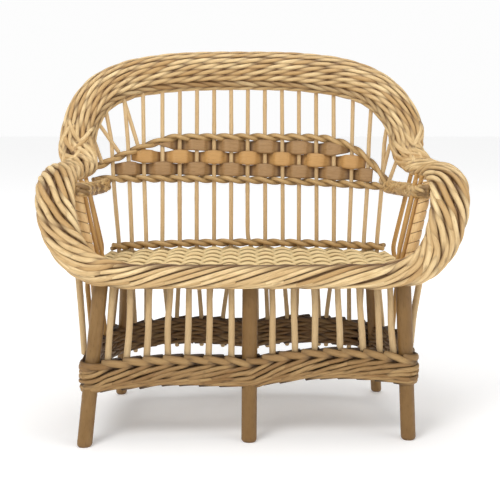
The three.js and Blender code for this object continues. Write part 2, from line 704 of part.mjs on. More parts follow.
// A split strip that waves in front of one stake and behind the next.
function stripBody(row, backStakes) {
  const heightAt = stripHeightAt(row);
  const crossings = stakeCrossings(backStakes, heightAt);
  const reach = BACK_STAKE_RADIUS + STRIP_THICK / 2 + GAP + 0.25;
  const waveAt = (x) => {
    const after = crossings.findIndex((crossing) => crossing > x);
    const index = after < 0 ? crossings.length - 1 : after;
    const left = crossings[Math.max(0, index - 1)];
    const right = crossings[index];
    const t = Math.min(1, Math.max(0, (x - left) / Math.max(1, right - left)));
    const sign = (index + row) % 2 === 0 ? 1 : -1;
    const swing = Math.cos(Math.PI * t);
    return sign * reach * Math.sign(swing) * Math.min(1, Math.abs(swing) * 1.5);
  };
  const frames = backFrames(STRIPS[row].from, STRIPS[row].to, 57, heightAt);
  return sweep(frames, ({ point, across }) => {
    const half = (across.z * STRIP_PITCH) / 2 - GAP;
    const middle = waveAt(point.x);
    const thick = STRIP_THICK / 2;
    return [
      [-half, middle + thick * 0.6],
      [0, middle + thick],
      [half, middle + thick * 0.6],
      [half, middle - thick],
      [-half, middle - thick],
    ];
  });
}

function addBackWeaving(backStakes) {
  const stakeCutters = backStakes.map((stations) => uprightRod(widened(stations, GAP), 6));
  const lower = (grow) => ropeBody(LOWER_ROPE_SPAN, 34, lowerRopeZ, grow);
  const upper = (grow) => ropeBody(UPPER_ROPE_SPAN, 34, upperRopeZ, grow);
  addPiece('band_rope_lower', cut(lower(0), stakeCutters), PEELED);
  addPiece('band_rope_upper', cut(upper(0), stakeCutters), PEELED);
  const stripCutters = [...stakeCutters, lower(GAP), upper(GAP)];
  STRIPS.forEach(({ name, look }, row) => {
    addPiece(name, cut(stripBody(row, backStakes), stripCutters), look);
  });
  const seatRow = ropeBody(SEAT_ROPE_SPAN, 30, () => SEAT_TOP + ROPE_HEIGHT / 2 + GAP);
  addPiece('seat_rear_rope', cut(seatRow, stakeCutters), PEELED);
}

// ---------------------------------------------------------------- assembly

function addRods(list) {
  for (const { name, stations, sides } of list) {
    addPiece(name, uprightRod(stations, sides), name.startsWith('arm_post') ? CANE : PEELED);
  }
}

function build() {
  const backStakes = [];
  for (let index = -BACK_STAKE_SIDE; index <= BACK_STAKE_SIDE; index += 1) {
    backStakes.push(backStakeStations(index));
  }
  const sideStakes = sideStakeList();
  const posts = postList();

  addLegs();
  addRods(backStakes.map((stations, i) => ({ name: `back_stake_${i + 1}`, stations, sides: 6 })));
  addRods(FRONT_STAKE_X.map((x, i) => ({
    name: `front_stake_${i + 1}`,
    stations: frontStakeStations(x),
    sides: 8,
  })));
  addRods(sideStakes);
  addRods(posts);

  const uprights = [
    ...backStakes.map((stations) => uprightRod(widened(stations, GAP), 6)),
    ...sideStakes.map(({ stations, sides }) => uprightRod(widened(stations, GAP), sides)),
  ];
  const runs = borderRuns();
  const runCutters = runs.map(({ rods, frames }) => rolledBody(frames, rods, GAP));
  addPiece('seat_weave', cut(seatBody(), [...uprights, ...runCutters]), SEAT_WEAVE);
  addBackWeaving(backStakes);
  const postCutters = posts.map(({ stations, sides }) => uprightRod(widened(stations, GAP), sides));
  addBorder(runs, [...uprights, ...postCutters, ...legCutters(FRONT_LEGS)]);
  addSkirts(backStakes, sideStakes);
}

// Put the origin on the floor under the middle of the bounding box.
function centreOnFloor() {
  const middle = new THREE.Box3().setFromObject(settee).getCenter(new THREE.Vector3());
  for (const piece of settee.children) {
    piece.position.x -= middle.x;
    piece.position.y -= middle.y;
  }
}

build();
centreOnFloor();

export default settee;
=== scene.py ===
"""Looks of a doll-size willow settee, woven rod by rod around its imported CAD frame."""

import math

import bpy
import numpy as np
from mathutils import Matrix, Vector


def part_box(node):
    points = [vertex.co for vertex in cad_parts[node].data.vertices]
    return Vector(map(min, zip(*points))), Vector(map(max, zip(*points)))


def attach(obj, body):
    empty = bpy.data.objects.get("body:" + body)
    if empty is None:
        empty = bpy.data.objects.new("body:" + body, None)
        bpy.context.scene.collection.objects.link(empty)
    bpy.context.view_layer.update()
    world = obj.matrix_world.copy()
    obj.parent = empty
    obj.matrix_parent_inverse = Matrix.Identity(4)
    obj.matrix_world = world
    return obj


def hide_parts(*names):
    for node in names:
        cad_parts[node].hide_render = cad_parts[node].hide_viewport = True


bl_info = {
    "name": "Willow Settee",
    "version": (1, 0, 0),
    "blender": (4, 5, 0),
    "location": "3D View > Sidebar > Willow",
    "description": "Weaves the rods, skeins and binding of a doll-size willow settee",
    "category": "Add Mesh",
}

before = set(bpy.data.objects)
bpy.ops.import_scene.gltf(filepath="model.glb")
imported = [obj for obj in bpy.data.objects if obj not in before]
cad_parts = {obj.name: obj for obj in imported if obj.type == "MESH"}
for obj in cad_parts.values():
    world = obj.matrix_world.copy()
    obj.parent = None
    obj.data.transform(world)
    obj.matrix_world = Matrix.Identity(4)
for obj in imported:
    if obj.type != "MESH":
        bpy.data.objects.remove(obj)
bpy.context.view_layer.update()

MM = 0.001
TAU = 2 * math.pi
UP = np.array([0.0, 0.0, 1.0])
FORWARD = np.array([0.0, -1.0, 0.0])


# ---------------------------------------------------------------- small array helpers


def unit(vectors):
    """Each vector divided by its own length."""
    return vectors / np.maximum(np.linalg.norm(vectors, axis=-1, keepdims=True), 1e-12)


def hermite(values, knots, at):
    """Cubic Hermite curve through rows of values at the given knots, with averaged slopes."""
    slopes = np.gradient(values, knots, axis=0)
    cell = np.clip(np.searchsorted(knots, at, side="right") - 1, 0, len(knots) - 2)
    width = (knots[cell + 1] - knots[cell])[:, None]
    t = (at - knots[cell])[:, None] / width
    start = (2 * t**3 - 3 * t**2 + 1) * values[cell] + (t**3 - 2 * t**2 + t) * width * slopes[cell]
    end = (3 * t**2 - 2 * t**3) * values[cell + 1] + (t**3 - t**2) * width * slopes[cell + 1]
    return start + end


def smooth_step(x):
    """0 below 0, 1 above 1 and a cubic ease between."""
    t = np.clip(x, 0.0, 1.0)
    return t * t * (3 - 2 * t)


def wander(rng, rods, count, size, waves=3):
    """Slow random drift along each rod: a sum of a few sines with random size and phase."""
    along = np.linspace(0, 1, count)[None, :, None]
    turns = np.arange(1, waves + 1)[None, None, :]
    phase = rng.uniform(0, TAU, (rods, 1, waves))
    weight = rng.normal(0, 1, (rods, 1, waves)) / turns
    return size * np.sum(weight * np.sin(math.pi * turns * along + phase), axis=2)


# ---------------------------------------------------------------- rods as meshes


# The rings that round over a rod's end, as shares of its radius: distance past the end, and radius.
TIPS = ((0.46, 0.5), (0.30, 0.82))
FLANK_SHIFT = 0.05             # where the painted shade on a rod's flank starts, as a sine of the angle
FLANK_REACH = 0.92             # and over how much of the sine it does so
GRAIN_STEP = 0.37              # metres of grain between one rod and the next, so that they differ


class RodBatch:
    """Collects rods with any number of stations and turns them into one mesh."""

    def __init__(self, sides=10):
        self.sides = sides
        self.verts = []
        self.faces = []
        self.uvs = []
        self.tone = []
        self.shade = []
        self.count = 0

    def add(self, paths, radii, out, flat=1.0, tone=0.5, shade=1.0, crevice=0.0):
        """Adds rods. A rod's skin is its path plus radius times (cos a, flat sin a) across it.

        paths is (rods, stations, 3), radii (rods, stations) and out the direction in which the
        section is flattened. Both ends are rounded over with two smaller rings and a cap. A share of
        painted shade darkens the flanks and the back of a rod, where it lies against others.
        """
        rods, stations, _ = paths.shape
        radii = np.broadcast_to(radii, (rods, stations))
        flat = np.broadcast_to(flat, (rods, stations))
        out = np.broadcast_to(out, (rods, stations, 3))
        tone = np.broadcast_to(np.reshape(tone, (-1, 1)), (rods, stations))
        shade = np.broadcast_to(shade, (rods, stations))
        along = unit(np.gradient(paths, axis=1))
        head = [paths[:, :1] - along[:, :1] * radii[:, :1, None] * reach for reach, _ in TIPS]
        tail = [paths[:, -1:] + along[:, -1:] * radii[:, -1:, None] * reach for reach, _ in TIPS[::-1]]
        paths = np.concatenate([*head, paths, *tail], axis=1)
        shrink = [radii[:, :1] * size for _, size in TIPS]
        shrink_end = [radii[:, -1:] * size for _, size in TIPS[::-1]]
        radii = np.concatenate([*shrink, radii, *shrink_end], axis=1)
        ends = (len(TIPS), len(TIPS))
        flat, tone, shade = (np.pad(rows, ((0, 0), ends), mode="edge") for rows in (flat, tone, shade))
        along, out = (np.pad(rows, ((0, 0), ends, (0, 0)), mode="edge") for rows in (along, out))
        stations += sum(ends)

        across = unit(np.cross(along, out))
        face = np.cross(across, along)
        angle = np.linspace(0, TAU, self.sides, endpoint=False)
        ring = (
            across[:, :, None] * np.cos(angle)[None, None, :, None]
            + face[:, :, None] * (np.sin(angle)[None, None, :] * flat[:, :, None])[..., None]
        )
        verts = paths[:, :, None] + ring * radii[:, :, None, None]
        flank_shade = 1 - crevice * (1 - smooth_step((np.sin(angle) + FLANK_SHIFT) / FLANK_REACH))
        self.verts.append(verts.reshape(-1, 3))
        self.tone.append(np.repeat(tone.reshape(-1), self.sides))
        self.shade.append((shade[:, :, None] * flank_shade).reshape(-1))
        self.add_faces(rods, stations)
        self.add_uvs(paths, angle)
        self.count += rods * stations * self.sides

    def add_faces(self, rods, stations):
        """Quads between the rings of each new rod, and a cap at each of its ends."""
        index = self.count + np.arange(rods * stations * self.sides).reshape(rods, stations, self.sides)
        turned = np.roll(index, -1, axis=2)
        quads = np.stack([index[:, :-1], index[:, 1:], turned[:, 1:], turned[:, :-1]], axis=-1)
        self.faces.extend(quads.reshape(-1, 4).tolist())
        self.faces.extend(index[:, 0].tolist())
        self.faces.extend(index[:, -1, ::-1].tolist())

    def add_uvs(self, paths, angle):
        """Texture places of the new rods: u once round the rod and v its length in metres."""
        rods, stations, _ = paths.shape
        step = np.linalg.norm(np.diff(paths, axis=1), axis=-1)
        length = np.concatenate([np.zeros((rods, 1)), np.cumsum(step, axis=1)], axis=1)
        length = length + np.arange(rods)[:, None] * GRAIN_STEP
        u0 = np.broadcast_to(np.arange(self.sides) / self.sides, (rods, stations - 1, self.sides))
        u1 = u0 + 1 / self.sides
        v0 = np.broadcast_to(length[:, :-1, None], u0.shape)
        v1 = np.broadcast_to(length[:, 1:, None], u0.shape)
        quad_uv = np.stack([u0, v0, u0, v1, u1, v1, u1, v0], axis=-1).reshape(-1, 2)
        cap_u = np.tile(0.5 + 0.3 * np.cos(angle), rods)
        cap_v = np.repeat(length[:, 0], self.sides) + 0.0005 * np.tile(np.sin(angle), rods)
        cap_uv = np.stack([cap_u, cap_v], axis=-1)
        self.uvs.extend([quad_uv, cap_uv, cap_uv])

    def build(self, name, nodes, slot, look=None):
        """Makes one piece of all the rods added so far."""
        tables = (self.verts, self.uvs, self.tone, self.shade)
        verts, uvs, tone, shade = (np.concatenate(table) for table in tables)
        add_piece(name, nodes, slot, verts, self.faces, uvs, tone, shade, look)


def add_piece(name, nodes, slot, verts, faces, uvs, tone, shade, look=None):
    """Makes a mesh and links it as a piece that rides on the root body in place of its CAD nodes.

    The material is the one named look, or the one named after the slot.
    """
    mesh = bpy.data.meshes.new(name)
    mesh.from_pydata(verts, [], faces)
    mesh.shade_smooth()
    layer = mesh.uv_layers.new(name="rod")
    layer.data.foreach_set("uv", uvs.astype(np.float32).ravel())
    for key, values in (("tone", tone), ("shade", shade)):
        attribute = mesh.attributes.new(key, "FLOAT", "POINT")
        attribute.data.foreach_set("value", values.astype(np.float32))
    mesh.update()
    mesh.materials.append(willow_material(look or slot))
    piece = bpy.data.objects.new(name, mesh)
    bpy.context.scene.collection.objects.link(piece)
    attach(piece, "root")
    if nodes:
        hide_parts(*nodes)


# ---------------------------------------------------------------- paths taken from the frame


SEAT_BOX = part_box("seat_weave")
SEAT_TOP = SEAT_BOX[1].z
FRONT_SHIFT = SEAT_BOX[0].y - 3 * MM          # the frame is centred, the lists below are not
MIDDLE_LEG_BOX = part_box("rear_leg_middle")
SIDE_SHIFT = (MIDDLE_LEG_BOX[0].x + MIDDLE_LEG_BOX[1].x) / 2
FRAME_SHIFT = np.array([SIDE_SHIFT, FRONT_SHIFT, 0.0])
BACK_Y = 140 * MM + FRONT_SHIFT
BACK_LEAN = 0.16
BACK_BOW = 42 * MM
BACK_BOW_HALF = 155 * MM
BOW_POWER = 2.2
SIDES = ((-1, "left"), (1, "right"))
STAKE_NAMES = [f"back_stake_{i + 1}" for i in range(17)]


def node_axis(name, levels=24):
    """Centre line of an upright CAD rod: the middle of its vertices at each level, resampled."""
    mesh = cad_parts[name].data
    points = np.empty(len(mesh.vertices) * 3)
    mesh.vertices.foreach_get("co", points)
    points = points.reshape(-1, 3)
    heights = np.unique(np.round(points[:, 2], 5))
    level = np.argmin(np.abs(points[:, 2][:, None] - heights[None, :]), axis=1)
    size = np.bincount(level)
    centres = np.stack([np.bincount(level, points[:, axis]) / size for axis in range(3)], axis=1)
    wanted = np.linspace(heights[0], heights[-1], levels)
    return np.stack([np.interp(wanted, heights, centres[:, axis]) for axis in range(3)], axis=1)


def back_y(x, z):
    """Back surface: seat depth plus lean times height, less a bow that grows as a power of |x|."""
    bow = BACK_BOW * (np.abs(x - SIDE_SHIFT) / BACK_BOW_HALF) ** BOW_POWER
    return BACK_Y + BACK_LEAN * (z - SEAT_TOP) - bow


class Track:
    """A curve with an edge direction, an outward direction, a width and a thickness."""

    def __init__(self, points, edges, width, thick, samples=1600):
        knots = np.concatenate([[0], np.cumsum(np.linalg.norm(np.diff(points, axis=0), axis=1))])
        at = np.linspace(0, knots[-1], samples)
        self.point = hermite(points, knots, at)
        steps = np.linalg.norm(np.diff(self.point, axis=0), axis=1)
        self.s = np.concatenate([[0], np.cumsum(steps)])
        self.knot_s = np.interp(knots, at, self.s)
        self.along = unit(np.gradient(self.point, axis=0))
        edge = hermite(edges, knots, at)
        edge -= np.sum(edge * self.along, axis=1, keepdims=True) * self.along
        self.edge = unit(edge)
        self.out = np.cross(self.along, self.edge)
        self.width = np.interp(at, knots, width)
        self.thick = np.interp(at, knots, thick)

    def read(self, table, s):
        """The rows of a table at distance s along the curve."""
        if table.ndim == 1:
            return np.interp(s, self.s, table)
        return np.stack([np.interp(s, self.s, table[:, axis]) for axis in range(3)], axis=-1)

    def oval(self, s, angle, height):
        """Point and outward direction on an oval round the curve, raised by height.

        The oval is half the width along the edge direction; along the outward one it is 0.6 of the
        thickness in front and 0.4 behind. Angle 0 faces outward, a quarter turn the outer edge.
        """
        edge = self.read(self.edge, s)
        out = self.read(self.out, s)
        half = self.read(self.width, s) / 2 + height
        share = np.where(np.cos(angle) > 0, 0.6, 0.4)
        depth = self.read(self.thick, s) * share + height
        across = half * np.sin(angle)
        outward = depth * np.cos(angle)
        place = self.read(self.point, s) + edge * across[..., None] + out * outward[..., None]
        normal = edge * (np.sin(angle) * depth)[..., None] + out * (np.cos(angle) * half)[..., None]
        return place, unit(normal)

    def panel(self, s, across, height, face=1.0):
        """Point and outward direction on one face of a flat band: across it, and raised by height.

        The face stands half the thickness off the curve and rounds off by the fourth power of the
        distance from the middle of the band.
        """
        half = self.read(self.width, s) / 2
        rounding = 1 - 0.22 * np.clip(np.abs(across) / half, 0, 1.1) ** 4
        depth = face * (self.read(self.thick, s) / 2 + height) * rounding
        edge = self.read(self.edge, s)
        out = self.read(self.out, s)
        place = self.read(self.point, s) + edge * across[..., None] + out * depth[..., None]
        return place, out * face


# Right half of the rolled border in millimetres: centre, outer-edge direction, width, thickness.
BORDER = (
    ((0, 168.5, 337.5), (0, 0.16, 1), 40, 21),
    ((42, 166.5, 337), (0.03, 0.16, 1), 40, 21),
    ((82, 158, 334), (0.14, 0.14, 1), 40, 21),
    ((115, 147, 327.5), (0.42, 0.1, 0.9), 39, 21),
    ((141, 134, 314.5), (0.74, 0, 0.68), 38, 21),
    ((156, 122, 296), (0.94, -0.2, 0.3), 37, 21),
    ((163, 114, 277), (1, -0.25, 0.1), 36, 20),
    ((165.5, 107, 258), (1, -0.15, 0.04), 36, 18),
    ((168.5, 97, 245.5), (1, -0.05, 0.05), 35, 17),
    ((174, 72, 240), (1, 0.03, 0.05), 34.5, 17.5),
    ((178.5, 32, 239), (1, 0.02, 0.02), 35, 18),
    ((179, 7, 230), (1, 0, 0), 35, 18),
    ((178, -2, 212), (1, 0, -0.05), 35, 18),
    ((174, -5, 194), (1, 0, -0.3), 34, 18),
    ((166, -6, 175.5), (0.84, 0, -0.55), 31, 18),
    ((151, -7, 160.5), (0.5, 0, -0.86), 28, 18),
    ((128, -8, 153.5), (0.16, 0, -1), 25, 18),
    ((80, -8.5, 152), (0, 0, -1), 24, 18),
    ((0, -8.5, 151.5), (0, 0, -1), 24, 18),
)
# The woven border is not quite even: height, and the shift of both halves to the right.
BORDER_LEAN = ((150, 180, 200, 242, 258, 277, 320), (6, 5, 4, 4, -4, -5.5, -8))
# The joint of collar and arm is slimmer on the right: height, and what comes off the width.
RIGHT_JOINT_TRIM = ((236, 246, 256, 268), (0, 7, 7, 0))
COLLAR_KNOT = 7                # entry where the collar hands over to the arm roll
ARM_KNOT = 15                  # entry where the arm roll hands over to the seat front
FRONT_KNOT = 18                # entry in the middle of the seat front
LOOP_OVERLAP = 2               # entries repeated at both ends, past the middle of the seat front
MIRROR = np.array([-1.0, 1.0, 1.0])


def border_track():
    """The border as one loop: from the seat front up the left side, over the top and down again."""
    centre = np.array([entry[0] for entry in BORDER], float)
    edge = np.array([entry[1] for entry in BORDER], float)
    width = np.array([entry[2] for entry in BORDER], float)
    thick = np.array([entry[3] for entry in BORDER], float)
    right_lead = slice(FRONT_KNOT - LOOP_OVERLAP, FRONT_KNOT)
    left_tail = slice(FRONT_KNOT - 1, FRONT_KNOT - 1 - LOOP_OVERLAP, -1)

    def looped(table, mirror):
        left = table[::-1] * mirror
        return np.concatenate([table[right_lead], left, table[1:], table[left_tail] * mirror])

    points = looped(centre, MIRROR)
    trim = np.where(points[:, 0] > 0, np.interp(points[:, 2], *RIGHT_JOINT_TRIM), 0)
    points[:, 0] += np.interp(points[:, 2], *BORDER_LEAN) - trim / 2
    points = points * MM + FRAME_SHIFT
    widths = looped(width, 1) - trim
    return Track(points, looped(edge, MIRROR), widths * MM, looped(thick, 1) * MM)


LOOP = border_track()


def loop_s(knot, side):
    """Distance along the loop of a border entry on the left (-1) or the right (1)."""
    return LOOP.knot_s[LOOP_OVERLAP + FRONT_KNOT + side * knot]


# ---------------------------------------------------------------- materials


def node_group(name, inputs, outputs):
    """A new shader node group with named sockets, and its input and output nodes."""
    group = bpy.data.node_groups.new(name, "ShaderNodeTree")
    for title, kind, value in inputs:
        socket = group.interface.new_socket(name=title, in_out="INPUT", socket_type=kind)
        if value is not None:
            socket.default_value = value
    for title, kind in outputs:
        group.interface.new_socket(name=title, in_out="OUTPUT", socket_type=kind)
    entry = group.nodes.new("NodeGroupInput")
    leave = group.nodes.new("NodeGroupOutput")
    return group, entry, leave


def add_node(tree, kind, **values):
    """A node with its properties set and its numbered or named inputs filled."""
    node = tree.nodes.new(kind)
    for key, value in values.items():
        if key == "inputs":
            for socket, content in value.items():
                if isinstance(content, bpy.types.NodeSocket):
                    tree.links.new(content, node.inputs[socket])
                else:
                    node.inputs[socket].default_value = content
        else:
            setattr(node, key, value)
    return node


def colour_mix(tree, blend, factor, first, second):
    """Colour output of a mix node."""
    node = add_node(tree, "ShaderNodeMix", data_type="RGBA", blend_type=blend, clamp_factor=True)
    for socket, content in ((0, factor), (6, first), (7, second)):
        if isinstance(content, bpy.types.NodeSocket):
            tree.links.new(content, node.inputs[socket])
        else:
            node.inputs[socket].default_value = content
    return node.outputs[2]


def math_node(tree, operation, first, second=0.0):
    """Value output of a math node."""
    node = add_node(tree, "ShaderNodeMath", operation=operation, inputs={0: first, 1: second})
    return node.outputs[0]


def map_range(tree, value, low, high, to_low, to_high):
    """Value output of a clamped map range."""
    node = add_node(
        tree,
        "ShaderNodeMapRange",
        inputs={0: value, 1: low, 2: high, 3: to_low, 4: to_high},
    )
    return node.outputs[0]


def willow_grain_and_shade_group():
    """Grain of a rod: long streaks, soft blotches and buds, with painted shade that darkens it where the
    shade attribute is low, as at rod ends that dip under others.
    """
    group, entry, leave = node_group(
        "Willow Grain And Painted Shade",
        [
            ("Light", "NodeSocketColor", (0.8, 0.62, 0.34, 1)),
            ("Mid", "NodeSocketColor", (0.6, 0.4, 0.17, 1)),
            ("Dark", "NodeSocketColor", (0.25, 0.13, 0.04, 1)),
            ("Streaks", "NodeSocketFloat", 0.5),
            ("Painted Shade", "NodeSocketFloat", 0.6),
            ("Bark", "NodeSocketFloat", 0.0),
        ],
        [
            ("Color", "NodeSocketColor"),
            ("Roughness", "NodeSocketFloat"),
            ("Height", "NodeSocketFloat"),
        ],
    )
    uv = add_node(group, "ShaderNodeUVMap", uv_map="rod").outputs[0]
    tone = add_node(group, "ShaderNodeAttribute", attribute_name="tone").outputs["Fac"]
    shade = add_node(group, "ShaderNodeAttribute", attribute_name="shade").outputs["Fac"]
    object_at = add_node(group, "ShaderNodeTexCoord").outputs["Object"]

    def streak(scale_around, scale_along, detail, distortion=0.0):
        place = add_node(
            group,
            "ShaderNodeMapping",
            inputs={"Vector": uv, "Scale": (scale_around, scale_along, 1.0)},
        ).outputs[0]
        return add_node(
            group,
            "ShaderNodeTexNoise",
            inputs={"Vector": place, "Scale": 1.0, "Detail": detail, "Distortion": distortion},
        ).outputs["Fac"]

    def toward(base, amount, strength, colour):
        """The colour moved to another one of the group by an amount times a strength."""
        share = math_node(group, "MULTIPLY", amount, strength)
        return colour_mix(group, "MIX", share, base, entry.outputs[colour])

    coarse = streak(7.0, 60.0, 3.0)
    fine = streak(34.0, 150.0, 4.0)
    blotch = add_node(
        group, "ShaderNodeTexNoise", inputs={"Vector": object_at, "Scale": 42.0, "Detail": 3.0}
    ).outputs["Fac"]
    bud = streak(2.5, 75.0, 1.0, 0.6)
    bud = map_range(group, bud, 0.70, 0.80, 0.0, 1.0)

    base = colour_mix(group, "MIX", tone, entry.outputs["Mid"], entry.outputs["Light"])
    coarse_line = map_range(group, coarse, 0.42, 0.72, 0.0, 1.0)
    base = toward(base, coarse_line, entry.outputs["Streaks"], "Mid")
    fine_line = map_range(group, fine, 0.56, 0.76, 0.0, 0.75)
    base = toward(base, fine_line, entry.outputs["Streaks"], "Dark")
    patch = map_range(group, blotch, 0.45, 0.75, 0.0, 0.35)
    base = colour_mix(group, "MIX", patch, base, entry.outputs["Mid"])
    bark_patch = map_range(group, blotch, 0.3, 0.7, 0.35, 1.0)
    base = toward(base, bark_patch, entry.outputs["Bark"], "Dark")
    base = toward(base, bud, 0.45, "Dark")
    # Painted shade: the colour moves towards the dark one where the shade attribute is low.
    hidden = math_node(group, "SUBTRACT", 1.0, shade)
    base = toward(base, hidden, entry.outputs["Painted Shade"], "Dark")
    group.links.new(base, leave.inputs["Color"])
    rough = map_range(group, fine, 0.3, 0.8, 0.44, 0.66)
    group.links.new(rough, leave.inputs["Roughness"])
    ridge = math_node(group, "MULTIPLY", fine, 0.6)
    ridge = math_node(group, "ADD", ridge, math_node(group, "MULTIPLY", coarse, 0.5))
    ridge = math_node(group, "ADD", ridge, math_node(group, "MULTIPLY", bud, 0.5))
    group.links.new(ridge, leave.inputs["Height"])
    return group


def srgb(red, green, blue):
    """Linear colour for an 8-bit screen colour."""
    values = np.array([red, green, blue]) / 255
    linear = np.where(values <= 0.04045, values / 12.92, ((values + 0.055) / 1.055) ** 2.4)
    return (*linear.tolist(), 1.0)


PALETTES = {
    # name: light, mid, dark, streaks, painted shade strength, bark, bump
    "willow_border": (srgb(240, 212, 160), srgb(192, 154, 100), srgb(78, 42, 6), 0.6, 0.95, 0.0, 0.45),
    "willow_stake": (srgb(222, 194, 148), srgb(196, 162, 112), srgb(96, 62, 26), 0.55, 0.7, 0.0, 0.35),
    "willow_pairing": (srgb(220, 188, 134), srgb(168, 130, 76), srgb(76, 42, 8), 0.55, 0.92, 0.0, 0.4),
    "seat_weave": (srgb(250, 228, 174), srgb(226, 196, 140), srgb(96, 60, 20), 0.4, 0.85, 0.0, 0.35),
    "skirt_weave": (srgb(176, 142, 92), srgb(138, 102, 56), srgb(38, 18, 2), 0.65, 0.95, 0.0, 0.45),
    "willow_leg": (srgb(154, 120, 72), srgb(126, 92, 44), srgb(84, 54, 22), 0.7, 0.5, 0.25, 0.5),
    "split_brown": (srgb(182, 146, 102), srgb(156, 120, 76), srgb(72, 42, 14), 0.9, 0.85, 0.0, 0.45),
    "split_gold": (srgb(208, 164, 104), srgb(190, 144, 84), srgb(96, 60, 24), 0.75, 0.85, 0.0, 0.4),
    "cane_binding": (srgb(240, 206, 150), srgb(224, 184, 126), srgb(98, 60, 24), 0.8, 0.9, 0.0, 0.4),
    "skein_gold": (srgb(206, 162, 96), srgb(180, 136, 74), srgb(84, 52, 20), 0.6, 0.7, 0.0, 0.3),
}
SHADES = ("light", "mid", "dark")
MATERIALS = {}


def willow_material(name):
    """Principled willow: colour with painted shade, roughness and bump from the grain group, with a faint
    polish.
    """
    if name in MATERIALS:
        return MATERIALS[name]
    group = bpy.data.node_groups.get("Willow Grain And Painted Shade") or willow_grain_and_shade_group()
    *_, streaks, painted_shade_strength, bark, bump = PALETTES[name]
    material = bpy.data.materials.new(name)
    material.use_nodes = True
    tree = material.node_tree
    grain = add_node(tree, "ShaderNodeGroup", node_tree=group)
    for shade in SHADES:
        colour = getattr(bpy.context.scene.willow_colours, f"{name}_{shade}")
        grain.inputs[shade.title()].default_value = colour
    for title, value in (("Streaks", streaks), ("Painted Shade", painted_shade_strength), ("Bark", bark)):
        grain.inputs[title].default_value = value
    shader = tree.nodes["Principled BSDF"]
    shader.inputs["Specular IOR Level"].default_value = 0.42
    shader.inputs["Coat Weight"].default_value = 0.06
    shader.inputs["Coat Roughness"].default_value = 0.35
    relief = add_node(tree, "ShaderNodeBump", inputs={"Strength": bump, "Distance": 0.0006})
    tree.links.new(grain.outputs["Height"], relief.inputs["Height"])
    tree.links.new(grain.outputs["Color"], shader.inputs["Base Color"])
    tree.links.new(grain.outputs["Roughness"], shader.inputs["Roughness"])
    tree.links.new(relief.outputs["Normal"], shader.inputs["Normal"])
    MATERIALS[name] = material
    return material


# ---------------------------------------------------------------- strokes


def lay_strokes(
    batch, surface, rng, starts, length, across, turn, radius, *, samples=15, wobble=0.0,
    taper=0.14, power=2.4, flat=1.0, lift=0.2 * MM, dip_start=1.7 * MM, dip_end=1.7 * MM,
    tip_shade_start=1.0, tip_shade_end=1.0, tip_shade_from=0.35, crevice=0.85, shade=1.0, tone=0.55,
):
    """Short rods that cross a woven surface and dip under their neighbours at their ends.

    Along a stroke t runs from -1 to 1. The place is start + t length / 2 along the track and
    across + t turn / 2 across it, and the height falls from lift by a dip times |t| to a power.
    """
    count = len(starts)
    t = np.broadcast_to(np.linspace(-1, 1, samples), (count, samples))
    length = np.asarray(length) * rng.uniform(0.94, 1.06, (count, 1))
    s = np.reshape(starts, (-1, 1)) + t * length / 2
    drift = wander(rng, count, samples, wobble)
    place_across = np.reshape(across, (-1, 1)) + t * np.reshape(turn, (-1, 1)) / 2 + drift
    size = radius * rng.uniform(0.9, 1.1, (count, 1)) * (1 - taper * t**2)
    dips = np.where(t < 0, dip_start, dip_end)
    jitter = rng.normal(0, 0.12 * MM, (count, 1))
    height = lift - size * flat - dips * np.abs(t) ** power + jitter
    place, normal = surface(s, place_across, height)
    # Painted shade: the ends that dip under the neighbours darken, from part of the way out.
    fade = np.where(t < 0, tip_shade_start, tip_shade_end)
    hidden = fade * smooth_step((np.abs(t) - tip_shade_from) / (1 - tip_shade_from))
    tones = np.clip(rng.normal(tone, 0.34, count), 0, 1)
    batch.add(place, size, normal, flat=flat, tone=tones, shade=(1 - hidden) * shade, crevice=crevice)


def lay_filler(batch, surface, s0, s1, across, radius, height, rng, shade=0.2):
    """Long rods that run with the track at a fixed height under the strokes, to close the gaps, darkened
    by their shade share as painted shade.
    """
    across = np.asarray(across, float)
    samples = max(8, int((s1 - s0) / (5 * MM)))
    s = np.broadcast_to(np.linspace(s0, s1, samples), (len(across), samples))
    place, normal = surface(s, np.broadcast_to(across[:, None], s.shape), height)
    batch.add(place, radius, normal, tone=rng.uniform(0.1, 0.5, len(across)), shade=shade)


# ---------------------------------------------------------------- the rolled border


CORE_RODS = 16                 # rods in the ring that fills a roll under its strokes


def lay_core(batch, rng, s0, s1, radius, depth, shade=0.12):
    """The core of a roll: a ring of long rods, sunk by depth under the surface and painted dark as shade.
    """
    angles = np.arange(CORE_RODS) * TAU / CORE_RODS
    lay_filler(batch, LOOP.oval, s0, s1, angles, radius, -depth, rng, shade=shade)


# The collar: rows in degrees from the middle of its face, and how far a stroke turns, in radians.
COLLAR_ROWS = (-54, -29.5, -9.5, 9.5, 29.5, 54, 80, 106, 130, 155, 180, 205, 230, 256, 281)
COLLAR_TURN = 0.36
LOWEST_TURN = -0.4
COLLAR_LEAD = 6 * MM           # how far the strokes run on past both ends of the collar


